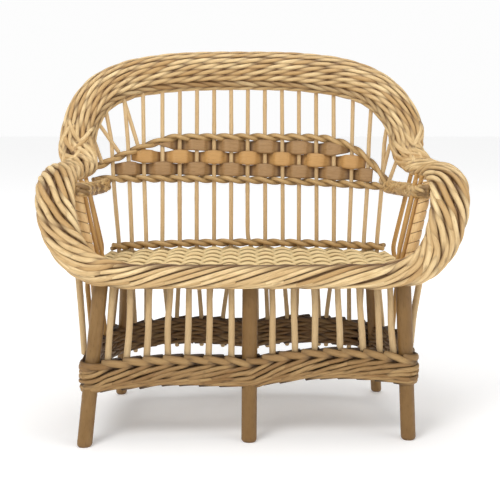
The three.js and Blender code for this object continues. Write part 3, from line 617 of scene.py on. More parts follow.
def weave_collar(settings):
    """Waled collar over the back: rows of slanting strokes round an oval, the lowest reversed."""
    rng = np.random.default_rng(settings.seed)
    batch = RodBatch(sides=10)
    s0 = loop_s(COLLAR_KNOT, -1)
    s1 = loop_s(COLLAR_KNOT, 1)
    pitch = settings.stroke_pitch
    for row, degrees in enumerate(COLLAR_ROWS):
        starts = np.arange(s0 - COLLAR_LEAD + rng.uniform(0, pitch), s1 + COLLAR_LEAD, pitch)
        starts = starts + rng.normal(0, 0.9 * MM, len(starts))
        # The lowest row, which faces down, is darkened with painted shade.
        turn, shade = (LOWEST_TURN, 0.72) if row == 0 else (COLLAR_TURN, 1.0)
        lay_strokes(
            batch, LOOP.oval, rng, starts, length=settings.stroke_length,
            across=math.radians(degrees), turn=turn, radius=settings.rod_radius, wobble=0.014,
            shade=shade, lift=0.3 * MM, taper=0.34, dip_start=2.1 * MM, dip_end=2.1 * MM,
            tip_shade_from=0.22,
        )
    lay_core(batch, rng, s0, s1, 2.6 * MM, 5.2 * MM)
    batch.build("collar_rods", ["back_collar"], "willow_border")


ROLL_TURN = math.radians(172)  # a rod of the seat front goes almost half round the roll
PAIR_LEAN = 0.14               # share of the pitch by which every second rod leans on the one before


def lay_roll(batch, rng, s0, s1, pitch, length, radius, tone):
    """Rods of a rolled border: they wind from the inner edge over the face to the outer edge."""
    starts = np.arange(s0, s1, pitch)
    starts = starts + rng.normal(0, 1.2 * MM, len(starts))
    starts = starts - np.where(np.arange(len(starts)) % 2 == 1, PAIR_LEAN * pitch, 0.0)
    common = {"samples": 26, "wobble": 0.03, "power": 3.5, "taper": 0.1, "tone": tone}
    lay_strokes(
        batch, LOOP.oval, rng, starts, length=length, across=0.0, turn=ROLL_TURN, radius=radius,
        dip_start=2.2 * MM, dip_end=1.5 * MM, **common,
    )
    # Behind the roll the same rods run back, thinner and darkened with painted shade.
    lay_strokes(
        batch, LOOP.oval, rng, starts + pitch / 2, length=length, across=math.pi, turn=ROLL_TURN,
        radius=radius * 0.92, dip_start=2.0 * MM, dip_end=2.0 * MM, shade=0.8, **common,
    )
    # Shorter rods lie over the lower part of the face, one for every second long one.
    shorts = starts[::2] + 0.12 * length
    lay_strokes(
        batch, LOOP.oval, rng, shorts, length=length * 0.5, across=math.radians(52),
        turn=math.radians(58), radius=radius * 1.08, dip_start=0.2 * MM, dip_end=1.6 * MM,
        tip_shade_start=0.1, lift=0.4 * MM, **common,
    )
    lay_core(batch, rng, s0, s1, 2.7 * MM, 5.4 * MM)


# Rows of strokes round an arm roll, in degrees from the middle of its outer face.
ARM_ROLL_ROWS = (-66, -18, 30, 78, 128, 180, 232)
ARM_TURN = math.radians(104)
LONG_LEAD = 17 * MM            # an arm roll runs on over the end of the seat front
SHORT_LEAD = 4 * MM            # and a little under the end of the collar
JOINT_STROKES = 15             # collar rod ends that cross the start of an arm roll


def weave_arm_rolls(settings):
    """Both arm rolls: rows of thick slanting strokes, from the foot of the collar to the seat."""
    for side, name in SIDES:
        rng = np.random.default_rng(settings.seed + 3 + side)
        batch = RodBatch(sides=12)
        s0, s1 = sorted((loop_s(COLLAR_KNOT, side), loop_s(ARM_KNOT, side)))
        pitch = settings.arm_pitch
        lead = (LONG_LEAD, SHORT_LEAD) if side < 0 else (SHORT_LEAD, LONG_LEAD)
        for row, degrees in enumerate(ARM_ROLL_ROWS):
            starts = np.arange(s0 - lead[0] + pitch * (row % 2) / 2, s1 + lead[1], pitch)
            starts = starts + rng.normal(0, 1.3 * MM, len(starts))
            lay_strokes(
                batch, LOOP.oval, rng, starts, length=settings.arm_length,
                across=math.radians(degrees), turn=ARM_TURN, radius=settings.arm_rod_radius,
                samples=20, wobble=0.07, power=2.8, taper=0.3, dip_start=3.0 * MM,
                dip_end=2.4 * MM, tip_shade_from=0.3, lift=0.9 * MM,
            )
        lay_core(batch, rng, s0, s1, 2.7 * MM, 5.0 * MM, shade=0.1)
        # Ends of the collar rods bend forward over the start of the arm and cross the roll.
        joint = loop_s(COLLAR_KNOT, side)
        starts = joint + rng.uniform(-13 * MM, 19 * MM, JOINT_STROKES)
        lay_strokes(
            batch, LOOP.oval, rng, starts,
            length=rng.uniform(20 * MM, 36 * MM, (JOINT_STROKES, 1)),
            across=np.radians(np.linspace(-84, 88, JOINT_STROKES)),
            turn=rng.choice([-1.1, 1.2], JOINT_STROKES), radius=settings.rod_radius * 1.05,
            samples=18, wobble=0.05, taper=0.3, dip_start=1.8 * MM, dip_end=1.8 * MM,
            lift=1.1 * MM, tip_shade_from=0.3,
        )
        batch.build(f"arm_rods_{name}", [f"arm_roll_{name}"], "willow_border")


FRONT_LEAD = 14 * MM           # how far the seat front starts under each arm roll


def weave_seat_front(settings):
    """The rolled border along the seat front, laid from both ends towards the middle."""
    rng = np.random.default_rng(settings.seed + 11)
    batch = RodBatch(sides=12)
    for ends in (
        (loop_s(ARM_KNOT, 1) - FRONT_LEAD, loop_s(FRONT_KNOT, 1)),
        (loop_s(FRONT_KNOT, -1), loop_s(ARM_KNOT, -1) + FRONT_LEAD),
    ):
        lay_roll(
            batch, rng, *ends, settings.front_pitch, settings.front_length,
            settings.thick_rod_radius * 0.92, tone=0.7,
        )
    batch.build("seat_front_rods", ["seat_front_border"], "willow_border")


# ---------------------------------------------------------------- upright rods


def smooth_axis(axis, passes=3):
    """A centre line with its kinks eased by repeated averaging of neighbours, ends kept."""
    for _ in range(passes):
        inner = (axis[:-2] + 2 * axis[1:-1] + axis[2:]) / 4
        axis = np.concatenate([axis[:1], inner, axis[-1:]])
    return axis


def rod_profile(rng, samples, radius, top_share=0.88):
    """Radius along a rod: a slow taper, slight waviness and one or two raised buds."""
    t = np.linspace(0, 1, samples)
    size = radius * (1 + (top_share - 1) * t) * (1 + wander(rng, 1, samples, 0.018, 5)[0])
    for place in rng.uniform(0.1, 0.9, 2):
        size = size + 0.07 * radius * np.exp(-(((t - place) / 0.012) ** 2))
    return size


def raise_rods(batch, rng, names, radius, levels=70, tone=0.5, wave=0.45 * MM, reach=0.0):
    """Upright rods on the centre lines of CAD rods, with a slight natural wander.

    reach carries the top on in its last direction, into the border that holds it.
    """
    for name in names:
        axis = smooth_axis(node_axis(name, levels))
        if reach:
            axis = np.concatenate([axis, axis[-1:] + unit(axis[-1:] - axis[-6:-5]) * reach])
            axis = smooth_axis(axis, 1)
        levels = len(axis)
        drift = np.stack([wander(rng, 1, levels, wave)[0] for _ in range(2)], axis=1)
        fade = np.sin(np.linspace(0, math.pi, levels))[:, None]
        axis[:, :2] += drift * fade
        size = rod_profile(rng, levels, radius)
        # Painted shade: the rod is darker below the seat top and brightens over 30 mm above it.
        shade = 0.75 + 0.25 * smooth_step((axis[:, 2] - SEAT_TOP) / (30 * MM))
        own_tone = np.clip(rng.normal(tone, 0.16), 0, 1)
        batch.add(axis[None], size[None], FORWARD, tone=own_tone, shade=shade[None])


def raise_each(rng, names, sides, radius, look=None, **more):
    """Upright rods with a mesh of their own for each CAD rod."""
    for name in names:
        batch = RodBatch(sides=sides)
        raise_rods(batch, rng, [name], radius, **more)
        batch.build(f"{name}_rod", [name], "willow_stake", look)


def raise_back_stakes(settings):
    """The stakes of the back."""
    rng = np.random.default_rng(settings.seed + 21)
    raise_each(rng, STAKE_NAMES, 12, settings.back_radius, levels=90, reach=5 * MM)


# Rods set in later beside the outer stakes: x and z of the foot, x and z of the top.
LEANING_STAKES = (
    (-131.0, 256.0, -152.0, 288.0),
    (-112.0, 261.0, -127.0, 312.0),
    (-147.0, 246.0, -154.0, 268.0),
    (134.0, 226.0, 143.0, 264.0),
    (141.0, 224.0, 154.0, 262.0),
)


def raise_leaning_stakes(settings):
    """Short rods that lean from the upper paired row out to the collar.

    Each is straight in x and z from foot to top, and its y is that of the back surface.
    """
    rng = np.random.default_rng(settings.seed + 24)
    batch = RodBatch(sides=12)
    for x0, z0, x1, z1 in LEANING_STAKES:
        t = np.linspace(0, 1, 30)
        x = (x0 + (x1 - x0) * t) * MM + SIDE_SHIFT
        z = (z0 + (z1 - z0) * t) * MM
        path = np.stack([x, back_y(x, z) - 0.5 * MM, z], axis=1)
        size = rod_profile(rng, 30, settings.back_radius * 0.92)
        batch.add(path[None], size[None], FORWARD, tone=rng.uniform(0.4, 0.7))
    batch.build("leaning_stakes", [], "willow_stake")


def raise_front_stakes(settings):
    """The stakes between the seat front and the skirt."""
    rng = np.random.default_rng(settings.seed + 22)
    names = [f"front_stake_{index + 1}" for index in range(14)]
    raise_each(rng, names, 14, settings.front_radius, levels=40, tone=0.62, wave=0.5 * MM)


def raise_side_stakes(settings):
    """The stakes under the arms."""
    rng = np.random.default_rng(settings.seed + 23)
    names = [f"side_stake_{side}_{index + 1}" for _, side in SIDES for index in range(3)]
    raise_each(rng, names, 12, settings.side_radius, look="skein_gold")


# Braces under the arm rolls: x at the top, at 110 mm and at the skirt, and y at the top and skirt.
BRACES = {"left": (-161.0, -156.0, -153.5, 30.0, 16.0), "right": (167.0, 156.0, 152.5, 30.0, 22.0)}
BRACE_HEIGHTS = (174.0, 110.0, 74.0)
# Cut ends of seat stakes that stand out under the seat: x and y, with a length.
STUB_RADIUS = 2.1 * MM
STUB_TOP = 150
STUBS = ((-91, 100, 9), (-61, 112, 6), (36, 118, 9), (99, 104, 11), (122, 92, 12), (-116, 90, 10))


def raise_braces(settings):
    """Rods from under the arm rolls to the skirt, and the cut stake ends under the seat.

    A brace runs straight in x between three heights and in y between two, and is then smoothed.
    """
    rng = np.random.default_rng(settings.seed + 25)
    for name, (top_x, middle_x, foot_x, top_y, foot_y) in BRACES.items():
        z = np.linspace(BRACE_HEIGHTS[2], BRACE_HEIGHTS[0], 50)
        x = np.interp(z, BRACE_HEIGHTS[::-1], (foot_x, middle_x, top_x))
        y = np.interp(z, (BRACE_HEIGHTS[2], BRACE_HEIGHTS[0]), (foot_y, top_y))
        axis = smooth_axis(np.stack([x, y, z], axis=1), 12) * MM
        axis = axis + FRAME_SHIFT
        size = rod_profile(rng, 50, 3.0 * MM, top_share=1.1)
        batch = RodBatch(sides=14)
        # Painted shade darkens the brace a little under the arm roll.
        batch.add(axis[None], size[None], FORWARD, tone=0.5, shade=0.85)
        batch.build(f"arm_brace_{name}", [], "willow_stake")
    batch = RodBatch(sides=12)
    for x, y, length in STUBS:
        t = np.linspace(0, 1, 8)
        lean = rng.normal(0, 0.12, 2)
        z = (STUB_TOP - length * t) * MM
        path = np.stack([x * MM + lean[0] * length * t * MM, y * MM + 0 * t, z], axis=1)
        path = path + FRAME_SHIFT
        # Painted shade darkens the stub ends under the seat.
        batch.add(path[None], STUB_RADIUS, FORWARD, tone=0.5, shade=0.7)
    batch.build("seat_stub_ends", [], "willow_stake")


def close_rings(rings, sides):
    """Faces of a skin made of rings of vertices: quads between the rings and a cap at each end."""
    index = np.arange(rings * sides).reshape(rings, sides)
    turned = np.roll(index, -1, axis=1)
    quads = np.stack([index[:-1], turned[:-1], turned[1:], index[1:]], axis=-1).reshape(-1, 4)
    return quads.tolist() + [index[0, ::-1].tolist(), index[-1].tolist()]


def ring_uvs(u0, u1, length, cap):
    """Texture places for close_rings: u from side to side, the length along, and a small cap."""
    u0 = np.broadcast_to(u0, (len(length) - 1, len(u0)))
    u1 = np.broadcast_to(u1, u0.shape)
    v0 = np.broadcast_to(length[:-1, None], u0.shape)
    v1 = np.broadcast_to(length[1:, None], u0.shape)
    quad_uv = np.stack([u0, v0, u1, v0, u1, v1, u0, v1], axis=-1).reshape(-1, 2)
    return np.concatenate([quad_uv, cap[::-1], cap])


def build_post(name, nodes, slot, centres, radii, tone, shade):
    """A post from level rings: centre plus radius times (cos a, sin a), closed by caps."""
    rings, sides = radii.shape
    angle = np.linspace(0, TAU, sides, endpoint=False)
    verts = np.empty((rings, sides, 3))
    verts[:, :, 0] = centres[:, 0, None] + radii * np.cos(angle)
    verts[:, :, 1] = centres[:, 1, None] + radii * np.sin(angle)
    verts[:, :, 2] = centres[:, 2, None]
    u0 = np.arange(sides) / sides
    cap = np.stack([0.5 + 0.4 * np.cos(angle), 0.02 * np.sin(angle)], axis=-1)
    uvs = ring_uvs(u0, u0 + 1 / sides, centres[:, 2], cap)
    faces = close_rings(rings, sides)
    tones = np.full(rings * sides, tone)
    add_piece(name, nodes, slot, verts.reshape(-1, 3), faces, uvs, tones, shade.reshape(-1))


LEG_LEVELS, LEG_SIDES = 110, 40
LEG_BUDS = 3
BUD_HEIGHT = 0.010             # half height of a bud ring, as a share of the leg's length
BUD_SWELL = 0.045              # how far a bud ring stands out, as a share of the radius
FOOT_ROUNDING = 1.5 * MM
FOOT_HEIGHT = 2.6 * MM         # the part of a leg over which its foot is rounded


def carve_legs(settings):
    """Six thick rods with bark left on: slow waves, shallow bud rings and rounded sawn feet.

    The radius is the leg's own times 1 plus four small cosines round it and a slow swell along it,
    plus a bell curve at each bud, less the square of how deep the point lies in the foot.
    """
    rng = np.random.default_rng(settings.seed + 31)
    for place in ("front", "rear"):
        for side in ("left", "middle", "right"):
            name = f"{place}_leg_{side}"
            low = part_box(name)[0]
            axis = node_axis(name, LEG_LEVELS)
            radius = settings.leg_radius if place == "front" else settings.rear_leg_radius
            t = np.linspace(0, 1, LEG_LEVELS)[:, None]
            angle = np.linspace(0, TAU, LEG_SIDES, endpoint=False)[None, :]
            lobes = sum(
                rng.normal(0, 0.010) * np.cos(k * angle + rng.uniform(0, TAU) + 1.5 * t)
                for k in range(1, 5)
            )
            swell = wander(rng, 1, LEG_LEVELS, 0.012, 4).reshape(-1, 1)
            size = radius * (1 + lobes + swell)
            for spot in rng.uniform(0.12, 0.9, LEG_BUDS):
                ring = np.exp(-(((t - spot) / BUD_HEIGHT) ** 2))
                reach = 0.35 + 0.65 * np.cos(angle / 2 + rng.uniform(0, TAU)) ** 2
                size = size + BUD_SWELL * radius * ring * reach
            height = axis[:, 2, None] - low.z
            foot = np.clip(1 - height / FOOT_HEIGHT, 0, 1)
            size = size - FOOT_ROUNDING * foot**2
            size = np.minimum(size, radius * 1.05)
            # Painted shade: the leg darkens over its lowest 5 mm, down to the foot on the floor.
            shade = np.clip(0.55 + 0.45 * smooth_step(height / (5 * MM)), 0, 1) * np.ones_like(size)
            tone = float(np.clip(rng.normal(0.5, 0.15), 0, 1))
            build_post(f"{name}_rod", [name], "willow_leg", axis, size, tone, shade)


SEAM_CLIMB = 0.18              # how far a seam leans across the front, in turns
SEAM_DEPTH = 0.75 * MM
SEAM_WIDTH = 0.035             # half width of a seam, in turns
CANE_CROWN = 0.28 * MM         # how far the middle of a turn stands out
SLIM_ROD_RADIUS = 1.9 * MM


def bind_posts(settings):
    """Arm posts bound with flat cane: a spiral seam every turn, each turn slightly crowned.

    The radius is the post's, plus a half sine across each turn, less a bell curve at each seam.
    """
    rng = np.random.default_rng(settings.seed + 41)
    for side, name in SIDES:
        node = f"arm_post_{name}"
        low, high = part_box(node)
        levels, sides = 260, 36
        axis = node_axis(node, levels)
        t = np.linspace(0, 1, levels)[:, None]
        turns = settings.binding_turns
        lean = -SEAM_CLIMB * side
        angle = np.linspace(0, TAU, sides, endpoint=False)[None, :]
        # The seam climbs one pitch round the back and leans across the front.
        phase = np.mod(t * turns + lean * np.cos(angle) + 0.5 * np.sin(angle) * 0.12, 1.0)
        distance = np.minimum(phase, 1 - phase)
        crown = CANE_CROWN * np.sin(math.pi * phase)
        groove = SEAM_DEPTH * np.exp(-((distance / SEAM_WIDTH) ** 2))
        radius = settings.post_radius - 0.2 * MM
        size = radius + crown - groove + 0.05 * MM * np.sin(5 * angle + 9 * t)
        # Painted shade darkens the seams between the turns of cane.
        shade = 1 - 0.95 * np.exp(-((distance / 0.045) ** 2))
        tone = float(rng.uniform(0.45, 0.65))
        build_post(f"{node}_binding", [node], "cane_binding", axis, size, tone, shade)
        # Two slim rods stand against the inner side of each post.
        batch = RodBatch(sides=12)
        levels = 40
        axis = node_axis(node, levels)
        offsets = np.array([[-side * 6.6 * MM, 4.0 * MM, 0], [-side * 10.0 * MM, 8.5 * MM, 0]])
        slim = axis[None] + offsets[:, None]
        slim[:, :, 2] = np.clip(slim[:, :, 2], low.z, high.z)
        # Painted shade darkens the slim rods a little.
        batch.add(slim, SLIM_ROD_RADIUS, FORWARD, tone=np.array([0.4, 0.7]), shade=0.9)
        batch.build(f"arm_post_{name}_slim_rods", [], "willow_stake", "skein_gold")


# ---------------------------------------------------------------- seat


SEAT_STAKES = 17
SEAT_STAKE_RADIUS = 1.5 * MM
SEAT_EDGE_RADIUS = 1.9 * MM
SEAT_NARROWING = 11 * MM       # how much closer each side edge is to the middle at the rear
SEAT_DEPTH = 4.0 * MM          # from the top of the seat down to the middle of its rods


def weave_seat(settings):
    """Seat: rods run side to side, rising and falling over hidden front-to-back stakes.

    A rod stands seat_wave cos(pi x / pitch + pi block) over the middle of the seat, where block
    counts the groups of rods, so that each group passes the stakes on the other side.
    """
    rng = np.random.default_rng(settings.seed + 51)
    batch = RodBatch(sides=8)
    low, high = SEAT_BOX
    rows, samples = settings.seat_rows, 150
    radius = settings.seat_radius
    u = np.linspace(-1, 1, samples)[None, :]
    v = np.linspace(0.0, 1.0, rows)[:, None]
    half = (high.x - low.x) / 2
    x = SIDE_SHIFT + u * (half - radius - SEAT_NARROWING * v)
    rear = back_y(x, SEAT_TOP) + 4 * MM
    front = low.y + radius
    y = front + (rear - front) * v + wander(rng, rows, samples, 0.12 * MM)
    block = np.floor(np.arange(rows) / settings.seat_block)[:, None]
    wave = np.cos(math.pi * (x - SIDE_SHIFT) / settings.seat_pitch + block * math.pi)
    middle = SEAT_TOP - SEAT_DEPTH
    z = middle + settings.seat_wave * wave + wander(rng, rows, samples, 0.1 * MM)
    place = np.stack([x, y, z], axis=-1)
    # Painted shade: a rod darkens where it dips down between the stakes.
    shade = 0.35 + 0.65 * smooth_step(0.62 + 0.5 * wave)
    tone = np.clip(rng.normal(0.62, 0.22, rows), 0, 1)
    size = radius * rng.uniform(0.92, 1.06, (rows, 1))
    batch.add(place, size, UP, tone=tone, shade=shade, crevice=0.75)

    across = (np.arange(SEAT_STAKES) - (SEAT_STAKES - 1) / 2) * settings.seat_pitch
    depth = np.linspace(0, 1, 12)[None, :]
    stake_x = SIDE_SHIFT + across[:, None] * (1 - 0.05 * depth)
    stake_y = front + (back_y(stake_x, SEAT_TOP) - front) * depth
    stakes = np.stack([stake_x, stake_y, np.full_like(stake_x, middle)], axis=-1)
    # The hidden stakes are darkened with painted shade.
    batch.add(stakes, SEAT_STAKE_RADIUS, UP, tone=0.3, shade=0.5)
    # A rod along each side edge closes the ends of the rows; painted shade darkens it a little.
    for side in (-1, 1):
        t = np.linspace(0, 1, 40)
        edge_x = SIDE_SHIFT + side * (half - 1.5 * MM - SEAT_NARROWING * t)
        edge_y = front + (back_y(edge_x, SEAT_TOP) - front) * t
        for drop in (0.0, 3.4 * MM):
            edge = np.stack([edge_x, edge_y, np.full_like(t, SEAT_TOP - 2.1 * MM - drop)], axis=1)
            batch.add(edge[None], SEAT_EDGE_RADIUS, UP, tone=0.6, shade=0.8)
    batch.build("seat_rods", ["seat_weave"], "seat_weave")


# ---------------------------------------------------------------- rows through the back


def stake_table():
    """x of every back stake at a range of heights: (heights, table of one row for each stake)."""
    heights = np.linspace(150, 300, 61) * MM
    rows = []
    for name in STAKE_NAMES:
        axis = node_axis(name, 200)
        rows.append(np.interp(heights, axis[:, 2], axis[:, 0]))
    return heights, np.array(rows)


STAKE_HEIGHTS, STAKE_X = stake_table()
OUTSIDE_PITCH = 16 * MM        # spacing taken for the counts beyond the outermost stakes


def stake_count_at(x, z):
    """How many stakes lie to the left of x at height z, with a smooth fraction between stakes."""
    level = np.clip(np.searchsorted(STAKE_HEIGHTS, z), 0, len(STAKE_HEIGHTS) - 1)
    result = np.empty_like(x)
    for unique_level in np.unique(level):
        chosen = level == unique_level
        stakes = STAKE_X[:, unique_level]
        padded = np.concatenate([[stakes[0] - OUTSIDE_PITCH], stakes, [stakes[-1] + OUTSIDE_PITCH]])
        result[chosen] = np.interp(x[chosen], padded, np.arange(-1, len(stakes) + 1))
    return result


def back_normal(x):
    """Direction out of the front of the back surface at x, leaned and turned with the bow."""
    x = x - SIDE_SHIFT
    share = np.abs(x) / BACK_BOW_HALF
    slope = BACK_BOW * BOW_POWER * np.sign(x) * share ** (BOW_POWER - 1) / BACK_BOW_HALF
    return unit(np.stack([-slope, -np.ones_like(x), np.full_like(x, BACK_LEAN)], axis=-1))


def pair_row(batch, rng, x0, x1, height_at, radius, swing, climb, tone=0.6):
    """Two weavers twining along the back.

    At stake count c each weaver stands swing cos(pi c) in front of the stakes and -climb sin(pi c)
    above the row, and the second weaver is one stake behind the first.
    """
    samples = int((x1 - x0) / (1.3 * MM))
    for weaver in (0, 1):
        x = np.linspace(x0, x1, samples)
        z = height_at(x)
        count = stake_count_at(x, z) + weaver
        outward = swing * np.cos(math.pi * count)
        upward = -climb * np.sin(math.pi * count)
        normal = back_normal(x)
        place = np.stack([x, back_y(x, z), z], axis=-1)
        place = place + normal * outward[:, None]
        place[:, 2] += upward
        size = radius * (1 + wander(rng, 1, samples, 0.03, 12)[0])
        # Painted shade: a weaver darkens where it passes behind the stakes.
        shade = 0.55 + 0.45 * smooth_step(0.5 + 0.65 * np.cos(math.pi * count))
        own_tone = tone + 0.18 * wander(rng, 1, samples, 0.5, 9)[0].mean()
        batch.add(place[None], size[None], normal[None], tone=own_tone, shade=shade[None], crevice=0.5)


LOWER_ROPE_Z = 225.5 * MM
LOWER_ROPE_FALL = 0.027        # how far it falls for each unit to the right
UPPER_ROPE_Z = 269.5 * MM
# How the upper row comes down at each end: side, where it starts, over what run, how far, and power.
UPPER_ROPE_ENDS = ((-1, 75 * MM, 75 * MM, 27 * MM, 1.3), (1, 50 * MM, 90 * MM, 43 * MM, 3.2))
SEAT_ROW_RISE = 3.6 * MM       # middle of the row behind the seat, over the seat's top


def lower_rope_z(x):
    """Height of the lower paired row: it falls slightly to the right."""
    return LOWER_ROPE_Z - LOWER_ROPE_FALL * (x - SIDE_SHIFT)


def upper_rope_z(x):
    """Height of the upper paired row: it falls gently on the left, late and steeply on the right."""
    z = np.full_like(x, UPPER_ROPE_Z)
    for side, start, run, drop, power in UPPER_ROPE_ENDS:
        z -= drop * (np.maximum(0, side * (x - SIDE_SHIFT) - start) / run) ** power
    return z


def seat_row_z(x):
    """Height of the paired row on the rear edge of the seat."""
    return np.full_like(x, SEAT_TOP + SEAT_ROW_RISE)


def twine(batch, rng, path, normal, count, radius, swing, climb, tone=0.6):
    """Two weavers that twine along any path; count rises by one from stake to stake."""
    for weaver in (0, 1):
        turn = count + weaver
        place = path + normal * (swing * np.cos(math.pi * turn))[:, None]
        place[:, 2] -= climb * np.sin(math.pi * turn)
        size = radius * (1 + wander(rng, 1, len(path), 0.03, 12)[0])
        # Painted shade: a weaver darkens where it passes behind the stakes.
        shade = 0.6 + 0.4 * smooth_step(0.5 + 0.65 * np.cos(math.pi * turn))
        own_tone = np.clip(tone + rng.normal(0, 0.12), 0, 1)
        batch.add(place[None], size[None], normal[None], tone=own_tone, shade=shade[None], crevice=0.5)


# The rows under the arms: stake counts, then x, y and z at each, from the back to past the post.
ARM_ROW_COUNTS = (0.2, 1, 2, 3, 4, 4.6)
ARM_ROWS = {
    "left": (
        (-141, 106, 226), (-148, 88, 225), (-150, 64, 226), (-151, 40, 228), (-151, 15, 230),
        (-156, 9, 231),
    ),
    "right": (
        (141, 106, 224), (149, 88, 224), (153, 64, 225), (157, 40, 226), (160, 15, 228),
        (164, 9, 229),
    ),
}


ARM_PAIR_DROP = 4.6 * MM       # the second pair of weavers lies this far under the first
WRAP_PITCH = 4.6 * MM
WRAP_LENGTH = 21 * MM
WRAP_WIDTH = 13.5 * MM
WRAP_THICK = 12 * MM
WRAP_DEGREES = (-150, -90, -30, 30, 90, 150)


def weave_arm_rows(settings):
    """Two pairs of weavers under each arm, from the back corner to the post, with rods wrapped round.

    The path is a Hermite curve through the listed places, and the wraps lie on an oval round it.
    """
    rng = np.random.default_rng(settings.seed + 62)
    for side, name in SIDES:
        counts = np.array(ARM_ROW_COUNTS, float)
        wanted = np.linspace(counts[0], counts[-1], 110)
        path = hermite(np.array(ARM_ROWS[name], float) * MM, counts, wanted)
        path = path + FRAME_SHIFT
        along = unit(np.gradient(path, axis=0))
        inward = unit(np.cross(along, UP) * -side)
        batch = RodBatch(sides=10)
        for drop in (0.0, ARM_PAIR_DROP):
            level = path - UP * drop
            twine(batch, rng, level, inward, wanted, settings.rope_radius * 0.95, 3.6 * MM, 1.7 * MM)
        ends = np.array(ARM_ROWS[name], float) * MM + FRAME_SHIFT
        ends[:, 2] -= 1.5 * MM
        upright = np.broadcast_to(UP, ends.shape)
        ones = np.ones(len(ends))
        track = Track(ends, upright, ones * WRAP_WIDTH, ones * WRAP_THICK, samples=400)
        wraps = np.arange(0, track.s[-1] - 6 * MM, WRAP_PITCH)
        for degrees in WRAP_DEGREES:
            lay_strokes(
                batch, track.oval, rng, wraps + rng.uniform(-3 * MM, 3 * MM, len(wraps)),
                length=WRAP_LENGTH, across=math.radians(degrees),
                turn=rng.choice([-1.5, 1.7], len(wraps)), radius=1.9 * MM, dip_start=1.4 * MM,
                dip_end=1.4 * MM, crevice=0.35, taper=0.3, tip_shade_start=0.7, tip_shade_end=0.7, tone=0.7,
            )
        batch.build(f"arm_row_{name}_weavers", [], "willow_pairing")


# The paired rows: node, the x where each one starts and ends, and its height.
ROPES = (
    ("band_rope_lower", -154 * MM, 147 * MM, lower_rope_z),
    ("band_rope_upper", -156 * MM, 141 * MM, upper_rope_z),
    ("seat_rear_rope", -137 * MM, 137 * MM, seat_row_z),
)


def weave_ropes(settings):
    """The paired rows: above and below the middle band, and along the rear of the seat."""
    rng = np.random.default_rng(settings.seed + 61)
    for name, start, end, height in ROPES:
        batch = RodBatch(sides=10)
        pair_row(
            batch, rng, start + SIDE_SHIFT, end + SIDE_SHIFT, height, settings.rope_radius,
            settings.rope_swing, settings.rope_climb,
        )
        batch.build(f"{name}_weavers", [name], "willow_pairing")


# The split skeins from the bottom up: node, slot, and the x where each one starts and ends.
SKEINS = (
    ("band_strip_lower", "split_brown", -137 * MM, 127 * MM),
    ("band_strip_middle", "split_gold", -118 * MM, 119 * MM),
    ("band_strip_upper", "split_brown", -98 * MM, 105 * MM),
)
SKEIN_PITCH = 12.3 * MM
SKEIN_THICK = 1.5 * MM
SKEIN_START = 3.9 * MM         # from the middle of the lower paired row up to the first skein
SKEIN_SAMPLES = 520


def flat_band(place, normal, width, thick, shade, back_shade):
    """A flat skein: grid of length by width, with a rounded back and front and closed ends.

    Across the width w from -1 to 1 the front face stands thick (1 - 0.35 w^4) / 2 off the middle.
    """
    across = np.concatenate([np.linspace(-1, 1, 9), np.linspace(1, -1, 9)])
    face = np.concatenate([np.ones(9), -np.ones(9)])
    depth = face * thick / 2 * (1 - 0.35 * across**4)
    along = unit(np.gradient(place, axis=0))
    edge = unit(np.cross(normal, along))
    half = (width / 2)[:, None, None]
    verts = place[:, None] + edge[:, None] * (half * across[None, :, None])
    verts = verts + normal[:, None] * depth[None, :, None]
    faces = close_rings(len(place), len(across))
    travelled = np.concatenate([[0], np.cumsum(np.linalg.norm(np.diff(place, axis=0), axis=1))])
    cap = np.stack([across * 0.5, 0.002 * face], axis=-1)
    uvs = ring_uvs(across * 0.5, np.roll(across * 0.5, -1), travelled, cap)
    # Painted shade: both faces darken towards the edges of the skein.
    edge_shade = 1 - 0.35 * np.abs(across) ** 6
    both = np.where(face[None] > 0, shade[:, None], back_shade[:, None])
    return verts.reshape(-1, 3), faces, uvs, (both * edge_shade[None]).reshape(-1)


def weave_strips(settings):
    """Three split-willow skeins in plain weave: flat rods that pass in front and behind.

    At stake count c a skein stands reach * tanh(2 cos(pi c)) / tanh(2) off the back surface. It is
    widest in front of a stake and narrowest behind the next one, so that the rows interlock.
    """
    rng = np.random.default_rng(settings.seed + 71)
    for row, (name, slot, start, end) in enumerate(SKEINS):
        x = np.linspace(start, end, SKEIN_SAMPLES) + SIDE_SHIFT
        z = lower_rope_z(x) + SKEIN_START + SKEIN_PITCH * (row + 0.5)
        count = stake_count_at(x, z) + row + 1
        swing = np.cos(math.pi * count)
        reach = np.tanh(2.0 * (swing + 0.12)) / math.tanh(2.0)
        normal = back_normal(x)
        place = np.stack([x, back_y(x, z), z], axis=-1)
        place = place + normal * (settings.strip_reach * reach)[:, None]
        width = SKEIN_PITCH * (1.04 + 0.15 * swing + 0.02 * wander(rng, 1, SKEIN_SAMPLES, 1.0, 20)[0])
        # The skein ends narrow to a point where the upper row closes over them.
        room = 2 * (upper_rope_z(x) - 2.0 * MM - z)
        width = np.clip(np.minimum(width, room), 1.5 * MM, None)
        # Painted shade: each face of a skein darkens where it passes behind a stake.
        shade = 0.12 + 0.88 * smooth_step((swing + 0.95) / 0.55)
        back_shade = 0.12 + 0.88 * smooth_step((0.95 - swing) / 0.55)
        verts, faces, uvs, shade = flat_band(place, normal, width, SKEIN_THICK, shade, back_shade)
        tones = np.full(len(verts), rng.uniform(0.35, 0.65))
        add_piece(f"{name}_skein", [name], slot, verts, faces, uvs, tones, shade)


# ---------------------------------------------------------------- the skirt


def leg_centre(name, z):
    """Centre of a CAD leg at a height."""
    axis = node_axis(name, 40)
    return np.array([np.interp(z, axis[:, 2], axis[:, 0]), np.interp(z, axis[:, 2], axis[:, 1])])


